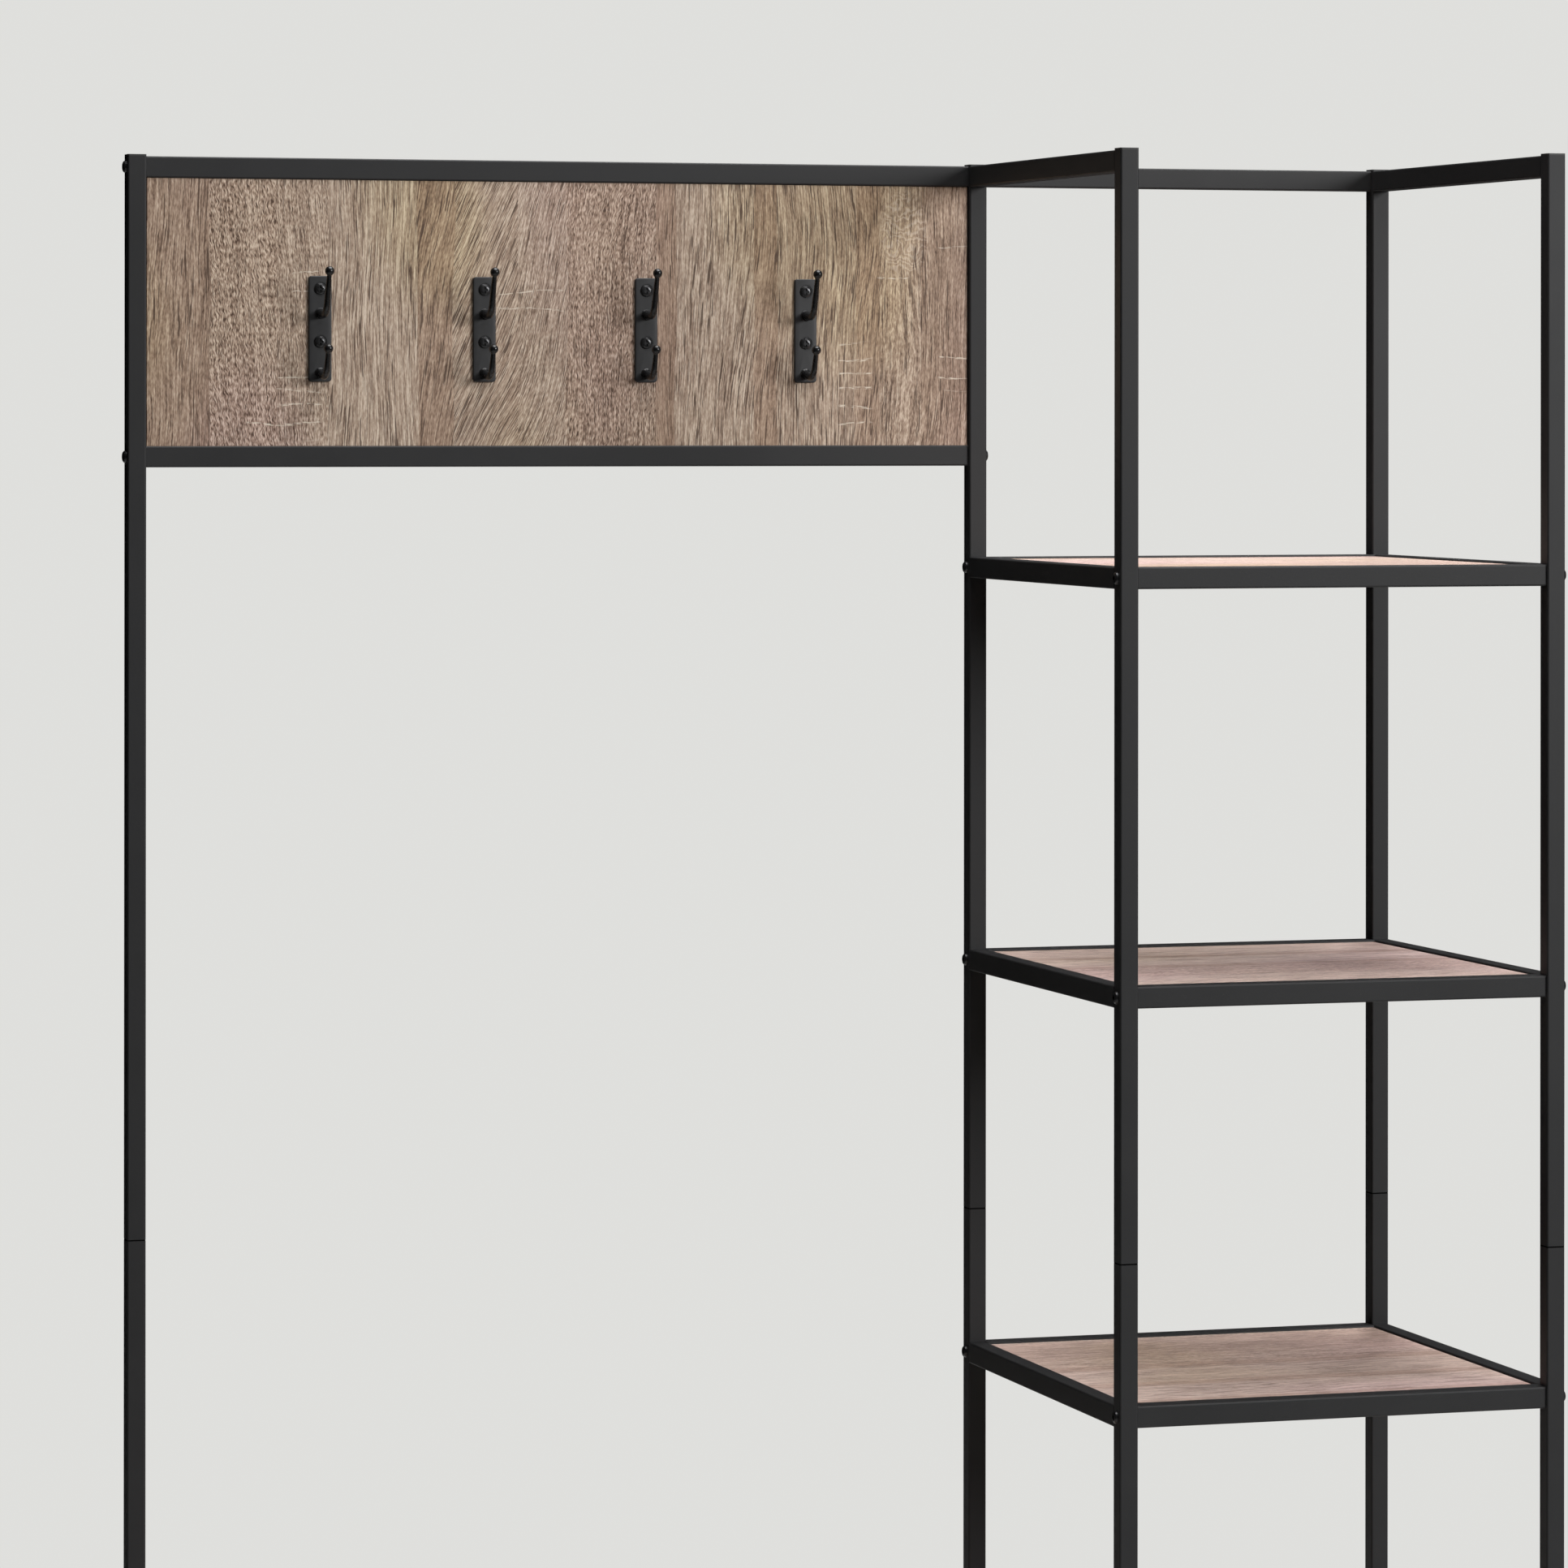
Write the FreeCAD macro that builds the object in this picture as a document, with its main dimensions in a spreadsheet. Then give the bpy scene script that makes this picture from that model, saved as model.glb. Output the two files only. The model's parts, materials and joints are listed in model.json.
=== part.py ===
"""Hall tree with hooks: an open shelf tower, a hook panel beside it, and a bench with a shoe shelf below.

Frame: millimetres, +Z up, X to the right as seen from the front, the front at -Y.
The origin is on the floor, under the middle of the posts' outline.

Square steel posts stand in two lengths, joined end to end by inner sleeves. Rails run between
them: side rails front to back, front and back rails left to right. Each front or back rail has
a welded, threaded plate in both ends, which a button-head bolt through the post screws into.
Where a bench rail and a tower rail meet the same post from both sides, one double-ended stud
goes through the post into both. Boards drop in between the rails and lie on welded tabs, held by
countersunk screws from below. The hook panel stands between two rails in the same way.
"""

import FreeCAD, Part
import math
import os

import Sketcher

Vector = FreeCAD.Vector
Rotation = FreeCAD.Rotation

# Driving dimensions, in millimetres. Each becomes a cell of the spreadsheet, with this alias.
DIMENSIONS = {
    # posts
    "post_side": 16.0,
    "post_wall": 1.2,
    "post_corner": 1.5,
    "post_top": 1828.5,
    "post_split": 915.0,
    "bench_pitch": 748.0,
    "tower_pitch": 380.0,
    "frame_depth": 400.0,
    # top faces of the levels, from the floor; levels 4 and 5 are the bench seat and the shoe shelf too
    "level_1": 1486.0,
    "level_2": 1142.0,
    "level_3": 798.0,
    "level_4": 454.0,
    "level_5": 110.0,
    # shelf rails: the side rails are as wide as the posts, the front and back ones as rail_width
    "rail_height": 18.0,
    "rail_width": 20.0,
    "rail_wall": 1.5,
    "rail_corner": 1.5,
    "rail_setback": 2.5,
    "rail_plate": 3.0,
    # hook frame rails
    "hook_rail_depth": 13.0,
    "hook_rail_top": 1584.0,
    # boards
    "board_thickness": 12.0,
    "board_drop": 1.5,
    "board_gap": 0.5,
    "board_side_gap": 1.5,
    "panel_thickness": 10.0,
    "panel_gap": 1.0,
    "panel_top_gap": 0.3,
    "panel_setback": 1.0,
    # welded tabs under and behind the boards
    "tab_thickness": 2.0,
    "tab_length": 24.0,
    "tab_reach": 16.0,
    "tab_screw_inset": 9.0,
    # fasteners
    "bolt_radius": 3.0,
    "bolt_length": 28.0,
    "bolt_head_radius": 5.25,
    "bolt_head_height": 3.0,
    "bolt_socket_radius": 2.3,
    "bolt_socket_depth": 1.6,
    "stud_length": 40.0,
    "clearance_radius": 3.25,
    "board_screw_radius": 1.75,
    "board_screw_head_radius": 3.6,
    "board_screw_length": 9.5,
    "tab_hole_radius": 1.85,
    "tab_sink_radius": 3.75,
    # caps, glides and sleeves
    "cap_thickness": 1.5,
    "cap_plug": 5.0,
    "glide_height": 4.0,
    "glide_plug": 12.0,
    "sleeve_length": 80.0,
    "sleeve_wall": 1.2,
    "collar_height": 1.2,
    "collar_setback": 0.4,
    # hooks
    "hook_pitch": 144.0,
    "hook_foot": 1638.5,
    "hook_plate_width": 20.0,
    "hook_plate_height": 90.0,
    "hook_plate_thickness": 3.0,
    "hook_plate_corner": 3.0,
    "hook_plate_chamfer": 0.8,
    "prong_radius": 2.7,
    "prong_ball": 4.0,
    "prong_start": 1.0,
    "boss_radius": 4.8,
    "boss_height": 4.5,
    "upper_root": 58.0,
    "upper_bend_level": 69.0,
    "upper_bend_reach": 17.0,
    "upper_bend_radius": 12.0,
    "upper_tip_level": 93.5,
    "upper_tip_reach": 38.0,
    "lower_root": 7.5,
    "lower_bend_level": 17.0,
    "lower_bend_reach": 17.0,
    "lower_bend_radius": 12.5,
    "lower_tip_level": 28.0,
    "lower_tip_reach": 34.0,
    "hook_screw_low": 34.0,
    "hook_screw_high": 79.0,
    "hook_screw_radius": 1.9,
    "hook_hole_radius": 2.1,
    "hook_sink_radius": 5.9,
    "hook_sink_depth": 0.5,
    "hook_screw_head_radius": 5.0,
    "hook_screw_head_height": 2.2,
    "hook_screw_grip": 8.0,
    "cross_width": 1.4,
    "cross_length": 5.2,
    "cross_depth": 1.2,
}

SHELVES = (1, 2, 3, 4, 5)
BENCH_LEVELS = {4: "seat", 5: "shoe_shelf"}
HOOKS = (1, 2, 3, 4)
TOWER_TABS = 2
BENCH_TABS = 3

# Places as expressions of the sheet's cells: the x of each post's centre line, the y of each row of posts.
HALF_WIDTH = "((dims.bench_pitch + dims.tower_pitch) / 2)"
POST_X = {
    "bench": f"(0 - {HALF_WIDTH})",
    "inner": f"(dims.bench_pitch - {HALF_WIDTH})",
    "outer": HALF_WIDTH,
}
POST_Y = {
    "front": "((dims.post_side - dims.frame_depth) / 2)",
    "back": "((dims.frame_depth - dims.post_side) / 2)",
}
HALF_POST = "(dims.post_side / 2)"
INSERT_SIDE = "(dims.post_side - 2 * dims.post_wall)"
PANEL_X = f"(({POST_X['bench']} + {POST_X['inner']}) / 2)"
PANEL_FRONT = "(dims.frame_depth / 2 - dims.hook_rail_depth + dims.panel_setback)"
SCREW_BITE = "(dims.board_screw_length - dims.tab_thickness)"
PANEL_SCREW_Z = {
    "top": "(dims.post_top - dims.rail_height - dims.tab_screw_inset)",
    "bottom": "(dims.hook_rail_top + dims.tab_screw_inset)",
}
TOP_LEVEL = "dims.post_top"
HALF_RAIL = "(dims.rail_height / 2)"

# A rail's own Z is its length. These turn it to lie left to right or front to back.
ALONG_X = Rotation(Vector(1, 1, 1), 120)
ALONG_Y = Rotation(Vector(1, 1, 1), 240)
UPRIGHT = Rotation()
FACING_FRONT = Rotation(Vector(1, 0, 0), 90)
HEAD_LEFT = Rotation(Vector(0, 1, 0), -90)
HEAD_RIGHT = Rotation(Vector(0, 1, 0), 90)
HEAD_DOWN = Rotation(Vector(1, 0, 0), 180)
HEAD_BACK = Rotation(Vector(1, 0, 0), -90)

doc = FreeCAD.newDocument("hall_tree")
nodes = []


def build_sheet():
    """The driving dimensions, one cell each."""
    sheet = doc.addObject("Spreadsheet::Sheet", "dims")
    for row, (alias, value) in enumerate(DIMENSIONS.items(), start=1):
        sheet.set(f"A{row}", alias)
        sheet.set(f"B{row}", str(value))
        sheet.setAlias(f"B{row}", alias)
    doc.recompute()


def bind(target, **expressions):
    """Binds properties to expressions; a double underscore stands for a dot in the property's name."""
    for name, expression in expressions.items():
        target.setExpression(name.replace("__", "."), expression)
    return target


def place(target, x="0", y="0", z="0", rotation=UPRIGHT):
    """Puts an object at a place given by expressions, turned by rotation."""
    target.Placement = FreeCAD.Placement(Vector(), rotation)
    for axis, expression in zip("xyz", (x, y, z)):
        target.setExpression(f"Placement.Base.{axis}", expression)
    return target


def new_body(name):
    return doc.addObject("PartDesign::Body", name)


def new_node(name):
    """A body that is a sub-part in its own right."""
    body = new_body(name)
    nodes.append(body)
    return body


def attach(feature, role, x="0", y="0", z="0", rotation=UPRIGHT):
    """Attaches a sketch or primitive to its own body's plane, moved by expressions in that plane's axes."""
    body = feature.getParentGeoFeatureGroup()
    plane = next(o for o in body.Origin.OriginFeatures if o.Role == role)
    feature.AttachmentSupport = [(plane, "")]
    feature.MapMode = "FlatFace"
    feature.AttachmentOffset = FreeCAD.Placement(Vector(), rotation)
    for axis, expression in zip("xyz", (x, y, z)):
        if expression != "0":
            feature.setExpression(f"AttachmentOffset.Base.{axis}", expression)
    return feature


def add_feature(body, kind, name):
    return body.newObject(kind, f"{body.Name}_{name}")


def add_sketch(body, name, role="XY_Plane", **offset):
    return attach(add_feature(body, "Sketcher::SketchObject", name), role, **offset)


def value_of(expression):
    """The number an expression of the sheet's cells gives now."""
    return FreeCAD.Units.Quantity(doc.dims.evalExpression(expression.replace("dims.", ""))).Value


def dimension(sketch, expression, kind, *where):
    """Adds a driving constraint to a sketch and binds it to an expression."""
    index = sketch.addConstraint(Sketcher.Constraint(kind, *where, value_of(expression)))
    label = f"size_{index}"
    sketch.renameConstraint(index, label)
    sketch.setExpression(f"Constraints.{label}", expression)


def sketch_rectangle(sketch, width, height):
    """A rectangle centred on the sketch's origin."""
    w, h = value_of(width) / 2, value_of(height) / 2
    corners = [Vector(-w, -h), Vector(w, -h), Vector(w, h), Vector(-w, h)]
    first = sketch.GeometryCount
    for a, b in zip(corners, corners[1:] + corners[:1]):
        sketch.addGeometry(Part.LineSegment(a, b))
    for k in range(4):
        sketch.addConstraint(Sketcher.Constraint("Coincident", first + k, 2, first + (k + 1) % 4, 1))
        sketch.addConstraint(Sketcher.Constraint("Horizontal" if k % 2 == 0 else "Vertical", first + k))
    sketch.addConstraint(Sketcher.Constraint("Symmetric", first, 1, first + 2, 1, -1, 1))
    dimension(sketch, width, "DistanceX", first, 1, first, 2)
    dimension(sketch, height, "DistanceY", first + 1, 1, first + 1, 2)


def sketch_rounded_rectangle(sketch, width, height, corner):
    """A rectangle with round corners, centred on the sketch's origin."""
    w, h, r = value_of(width) / 2, value_of(height) / 2, value_of(corner)
    first = sketch.GeometryCount
    sides = [
        (Vector(r - w, -h), Vector(w - r, -h)),
        (Vector(w, r - h), Vector(w, h - r)),
        (Vector(w - r, h), Vector(r - w, h)),
        (Vector(-w, h - r), Vector(-w, r - h)),
    ]
    centres = [Vector(w - r, r - h), Vector(w - r, h - r), Vector(r - w, h - r), Vector(r - w, r - h)]
    for a, b in sides:
        sketch.addGeometry(Part.LineSegment(a, b))
    for k, centre in enumerate(centres):
        start = (k - 1) * math.pi / 2
        circle = Part.Circle(centre, Vector(0, 0, 1), r)
        sketch.addGeometry(Part.ArcOfCircle(circle, start, start + math.pi / 2))
    for k in range(4):
        sketch.addConstraint(Sketcher.Constraint("Tangent", first + k, 2, first + 4 + k, 1))
        sketch.addConstraint(Sketcher.Constraint("Tangent", first + 4 + k, 2, first + (k + 1) % 4, 1))
        sketch.addConstraint(Sketcher.Constraint("Horizontal" if k % 2 == 0 else "Vertical", first + k))
        if k:
            sketch.addConstraint(Sketcher.Constraint("Equal", first + 4, first + 4 + k))
    sketch.addConstraint(Sketcher.Constraint("Symmetric", first + 4, 3, first + 6, 3, -1, 1))
    dimension(sketch, corner, "Radius", first + 4)
    dimension(sketch, width, "DistanceX", first + 3, 1, first + 1, 1)
    dimension(sketch, height, "DistanceY", first, 1, first + 2, 1)


def sketch_circle(sketch, radius):
    """A circle on the sketch's origin."""
    index = sketch.addGeometry(Part.Circle(Vector(), Vector(0, 0, 1), value_of(radius)))
    sketch.addConstraint(Sketcher.Constraint("Coincident", index, 3, -1, 1))
    dimension(sketch, radius, "Radius", index)


def sketch_outline(sketch, points):
    """A closed outline through points, each a pair of expressions, none of them negative."""
    values = [Vector(value_of(x), value_of(y)) for x, y in points]
    count = len(points)
    for k in range(count):
        sketch.addGeometry(Part.LineSegment(values[k], values[(k + 1) % count]))
    for k, (x, y) in enumerate(points):
        sketch.addConstraint(Sketcher.Constraint("Coincident", k, 2, (k + 1) % count, 1))
        dimension(sketch, x, "DistanceX", -1, 1, k, 1)
        dimension(sketch, y, "DistanceY", -1, 1, k, 1)


def pad(body, sketch, name, length):
    feature = add_feature(body, "PartDesign::Pad", name)
    feature.Profile = sketch
    return bind(feature, Length=length)


def revolve(body, sketch, name):
    """A full turn of a sketch about its own vertical axis."""
    feature = add_feature(body, "PartDesign::Revolution", name)
    feature.Profile = sketch
    feature.ReferenceAxis = (sketch, ["V_Axis"])
    feature.Angle = 360
    return feature


def add_box(body, name, sizes, x="0", y="0", z="0", kind="Additive"):
    """A box feature, its low corner at x, y, z in the body."""
    feature = add_feature(body, f"PartDesign::{kind}Box", name)
    attach(feature, "XY_Plane", x, y, z)
    return bind(feature, Length=sizes[0], Width=sizes[1], Height=sizes[2])


def cut_cylinder(body, name, radius, length, x="0", y="0", z="0", rotation=UPRIGHT):
    feature = add_feature(body, "PartDesign::SubtractiveCylinder", name)
    attach(feature, "XY_Plane", x, y, z, rotation)
    return bind(feature, Radius=radius, Height=length)


def cut_cone(body, name, radius_1, radius_2, height, x, y, z, rotation=UPRIGHT):
    feature = add_feature(body, "PartDesign::SubtractiveCone", name)
    attach(feature, "XY_Plane", x, y, z, rotation)
    return bind(feature, Radius1=radius_1, Radius2=radius_2, Height=height)


def add_tube(body, width, height, wall, corner, length):
    """A straight tube along the body's own Z, centred on it, with round outer corners."""
    section = add_sketch(body, "section")
    sketch_rounded_rectangle(section, width, height, corner)
    sketch_rectangle(section, f"{width} - 2 * {wall}", f"{height} - 2 * {wall}")
    return pad(body, section, "tube", length)


def build_post(name, x, y, low, high, bolt_levels):
    """A post from low to high, with a bolt hole through it, left to right, at each level."""
    body = new_node(name)
    side = "dims.post_side"
    add_tube(body, side, side, "dims.post_wall", "dims.post_corner", f"{high} - {low}")
    for number, level in enumerate(bolt_levels, start=1):
        cut_cylinder(
            body,
            f"bolt_hole_{number}",
            "dims.clearance_radius",
            "2 * dims.post_side",
            x="0 - dims.post_side",
            z=f"{level} - {low}",
            rotation=Rotation(Vector(0, 1, 0), 90),
        )
    place(body, x, y, low)


def rail_middle(level):
    """The height of a rail's middle, where its bolts go, from the level of its top."""
    return f"({level} - {HALF_RAIL})"


def build_posts():
    hook_bolts = [rail_middle("dims.hook_rail_top"), rail_middle(TOP_LEVEL)]
    upper = [rail_middle(f"dims.level_{k}") for k in (1, 2)]
    lower = [rail_middle(f"dims.level_{k}") for k in (3, 4, 5)]
    bench = [rail_middle(f"dims.level_{k}") for k in BENCH_LEVELS]
    halves = {
        "lower": ("dims.glide_height", "dims.post_split - dims.collar_height / 2"),
        "upper": ("(dims.post_split + dims.collar_height / 2)", "dims.post_top"),
    }
    posts = [
        ("bench_back_post", "bench", "back", {"lower": bench, "upper": hook_bolts}),
        ("tower_inner_back_post", "inner", "back", {"lower": lower, "upper": upper + hook_bolts}),
        ("tower_inner_front_post", "inner", "front", {"lower": lower, "upper": upper}),
        ("tower_outer_back_post", "outer", "back", {"lower": lower, "upper": upper + hook_bolts[1:]}),
        ("tower_outer_front_post", "outer", "front", {"lower": lower, "upper": upper}),
    ]
    for name, column, row, bolts in posts:
        for half, (low, high) in halves.items():
            build_post(f"{name}_{half}", POST_X[column], POST_Y[row], low, high, bolts[half])
    build_post(
        "bench_front_leg", POST_X["bench"], POST_Y["front"], "dims.glide_height", "dims.level_4", bench
    )


def build_side_rail(name, x, level):
    """A rail from the front post to the back post, as wide as they are."""
    body = new_node(name)
    length = "(dims.frame_depth - 2 * dims.post_side)"
    add_tube(body, "dims.rail_height", "dims.post_side", "dims.rail_wall", "dims.rail_corner", length)
    place(body, x, f"0 - {length} / 2", rail_middle(level), ALONG_Y)


def build_cross_rail(name, left, right, depth, y, bolt_offset, level):
    """A rail from post to post, left to right, with a threaded plate in each end.

    bolt_offset is from the rail's middle to the bolts' axis, towards the back.
    """
    body = new_node(name)
    length = f"({right} - {left} - dims.post_side)"
    wall = "dims.rail_wall"
    add_tube(body, depth, "dims.rail_height", wall, "dims.rail_corner", length)
    plate = (f"{depth} - {wall}", f"dims.rail_height - {wall}", "dims.rail_plate")
    corner = {"x": f"0 - ({depth} - {wall}) / 2", "y": f"0 - (dims.rail_height - {wall}) / 2"}
    add_box(body, "left_plate", plate, **corner)
    add_box(body, "right_plate", plate, **corner, z=f"{length} - dims.rail_plate")
    cut_cylinder(body, "thread", "dims.bolt_radius", length, x=bolt_offset)
    place(body, f"{left} + {HALF_POST}", y, rail_middle(level), ALONG_X)
    return body, length


def tab_columns(length, count):
    """Where each tab's middle is, as expressions, from the middle of a rail of that length."""
    return [f"{length} * {(k + 0.5) / count - 0.5}" for k in range(count)]


def add_tab(body, number, sizes, corner, hole):
    """A welded tab with a countersunk screw hole, whose narrow end is towards the board."""
    add_box(body, f"tab_{number}", sizes, **corner)
    narrow, wide = "dims.tab_hole_radius", "dims.tab_sink_radius"
    cut_cylinder(body, f"tab_hole_{number}", narrow, "dims.tab_thickness", **hole)
    cut_cone(body, f"tab_sink_{number}", wide, narrow, "dims.tab_thickness", **hole)


def add_shelf_tabs(body, length, count, inward):
    """Tabs that carry a board, on the side of a rail; inward is 1 where the board lies towards the back."""
    underside = "(dims.rail_height / 2 - dims.board_drop - dims.board_thickness - dims.tab_thickness)"
    face = "(dims.rail_width / 2)"
    sizes = ("dims.tab_reach + dims.rail_corner", "dims.tab_thickness", "dims.tab_length")
    low = f"{face} - dims.rail_corner" if inward > 0 else f"0 - {face} - dims.tab_reach"
    for number, column in enumerate(tab_columns(length, count), start=1):
        middle = f"({length} / 2 + {column})"
        corner = {"x": low, "y": underside, "z": f"{middle} - dims.tab_length / 2"}
        hole = {
            "x": f"({face} + dims.tab_screw_inset) * {inward}",
            "y": underside,
            "z": middle,
            "rotation": Rotation(Vector(1, 0, 0), -90),
        }
        add_tab(body, number, sizes, corner, hole)


def add_panel_tabs(body, length, depth, upward):
    """Tabs behind the hook panel; upward is 1 where the panel stands above the rail."""
    back = f"({depth} / 2)"
    sizes = ("dims.tab_thickness", "dims.tab_reach + dims.rail_corner", "dims.tab_length")
    low = f"{HALF_RAIL} - dims.rail_corner" if upward > 0 else f"0 - {HALF_RAIL} - dims.tab_reach"
    for number, column in enumerate(tab_columns(length, BENCH_TABS), start=1):
        middle = f"({length} / 2 + {column})"
        corner = {"x": f"{back} - dims.tab_thickness", "y": low, "z": f"{middle} - dims.tab_length / 2"}
        hole = {
            "x": back,
            "y": f"({HALF_RAIL} + dims.tab_screw_inset) * {upward}",
            "z": middle,
            "rotation": Rotation(Vector(0, 1, 0), -90),
        }
        add_tab(body, number, sizes, corner, hole)


def shelf_rail_place(row):
    """The y of a front or back rail's middle, its bolt offset and the way to its board."""
    step = "(dims.rail_setback + (dims.rail_width - dims.post_side) / 2)"
    if row == "front":
        return f"{POST_Y['front']} + {step}", f"0 - {step}", 1
    return f"{POST_Y['back']} - {step}", step, -1


def build_shelf_rails():
    for number in SHELVES:
        level = f"dims.level_{number}"
        for row in ("front", "back"):
            y, bolt_offset, inward = shelf_rail_place(row)
            rail, length = build_cross_rail(
                f"shelf_{number}_{row}_rail",
                POST_X["inner"],
                POST_X["outer"],
                "dims.rail_width",
                y,
                bolt_offset,
                level,
            )
            add_shelf_tabs(rail, length, TOWER_TABS, inward)
        build_side_rail(f"shelf_{number}_left_rail", POST_X["inner"], level)
        build_side_rail(f"shelf_{number}_right_rail", POST_X["outer"], level)
    for side, column in (("left", "inner"), ("right", "outer")):
        build_side_rail(f"tower_top_{side}_rail", POST_X[column], TOP_LEVEL)


def build_bench_rails():
    for number, name in BENCH_LEVELS.items():
        level = f"dims.level_{number}"
        for row in ("front", "back"):
            y, bolt_offset, inward = shelf_rail_place(row)
            rail, length = build_cross_rail(
                f"{name}_{row}_rail",
                POST_X["bench"],
                POST_X["inner"],
                "dims.rail_width",
                y,
                bolt_offset,
                level,
            )
            add_shelf_tabs(rail, length, BENCH_TABS, inward)
        build_side_rail(f"{name}_side_rail", POST_X["bench"], level)


def build_hook_frame():
    """The two rails above and below the hook panel, and the tower's top back rail of the same tube."""
    depth = "dims.hook_rail_depth"
    y = f"(dims.frame_depth - {depth}) / 2"
    bolt_offset = f"({depth} - dims.post_side) / 2"
    bench = (POST_X["bench"], POST_X["inner"])
    tower = (POST_X["inner"], POST_X["outer"])
    build_cross_rail("tower_top_back_rail", *tower, depth, y, bolt_offset, TOP_LEVEL)
    for name, level, upward in (("top", TOP_LEVEL, -1), ("bottom", "dims.hook_rail_top", 1)):
        rail, length = build_cross_rail(f"hook_frame_{name}_rail", *bench, depth, y, bolt_offset, level)
        add_panel_tabs(rail, length, depth, upward)


def build_board(name, width, depth, thickness):
    body = new_node(name)
    outline = add_sketch(body, "outline")
    sketch_rectangle(outline, width, depth)
    pad(body, outline, "board", thickness)
    return body


def tab_screw_y(row):
    """The y of the screws through the tabs of a front or back rail."""
    y, _, inward = shelf_rail_place(row)
    return f"{y} + (dims.rail_width / 2 + dims.tab_screw_inset) * {inward}"


def build_level_board(name, left, right, level, columns):
    """A board between two columns of posts, with a pilot hole in its underside over each tab."""
    length = f"({right} - {left} - dims.post_side)"
    depth = "dims.frame_depth - 2 * (dims.rail_setback + dims.rail_width + dims.board_gap)"
    board = build_board(name, f"{length} - 2 * dims.board_side_gap", depth, "dims.board_thickness")
    for number, x in enumerate(tab_columns(length, columns), start=1):
        for row in POST_Y:
            pilot = f"{row}_pilot_{number}"
            cut_cylinder(board, pilot, "dims.board_screw_radius", SCREW_BITE, x=x, y=tab_screw_y(row))
    place(board, f"({left} + {right}) / 2", "0", f"{level} - dims.board_drop - dims.board_thickness")


def build_panel():
    """The hook panel stands on the lower rail. Its pilot holes are in its back and its front."""
    length = f"({POST_X['inner']} - {POST_X['bench']} - dims.post_side)"
    height = "(dims.post_top - dims.rail_height - dims.hook_rail_top - dims.panel_top_gap)"
    middle = f"(dims.hook_rail_top + {height} / 2)"
    panel = build_board("hook_panel", f"{length} - 2 * dims.panel_gap", height, "dims.panel_thickness")
    for number, x in enumerate(tab_columns(length, BENCH_TABS), start=1):
        for edge, z in PANEL_SCREW_Z.items():
            pilot = f"{edge}_pilot_{number}"
            cut_cylinder(panel, pilot, "dims.board_screw_radius", SCREW_BITE, x=x, y=f"{z} - {middle}")
    bite = "(dims.hook_screw_grip - dims.hook_plate_thickness + dims.hook_sink_depth)"
    for number in HOOKS:
        for name in ("low", "high"):
            cut_cylinder(
                panel,
                f"hook_{number}_{name}_pilot",
                "dims.hook_screw_radius",
                bite,
                x=hook_step(number),
                y=f"dims.hook_foot + dims.hook_screw_{name} - {middle}",
                z=f"dims.panel_thickness - {bite}",
            )
    place(panel, PANEL_X, f"{PANEL_FRONT} + dims.panel_thickness", middle, FACING_FRONT)


def build_boards():
    """The shelves, the seat and the shoe shelf, each a little below the top of its rails, and the panel."""
    for number in SHELVES:
        ends = (POST_X["inner"], POST_X["outer"])
        build_level_board(f"shelf_{number}_board", *ends, f"dims.level_{number}", TOWER_TABS)
    for number, name in BENCH_LEVELS.items():
        ends = (POST_X["bench"], POST_X["inner"])
        build_level_board(f"{name}_board", *ends, f"dims.level_{number}", BENCH_TABS)
    build_panel()


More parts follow.
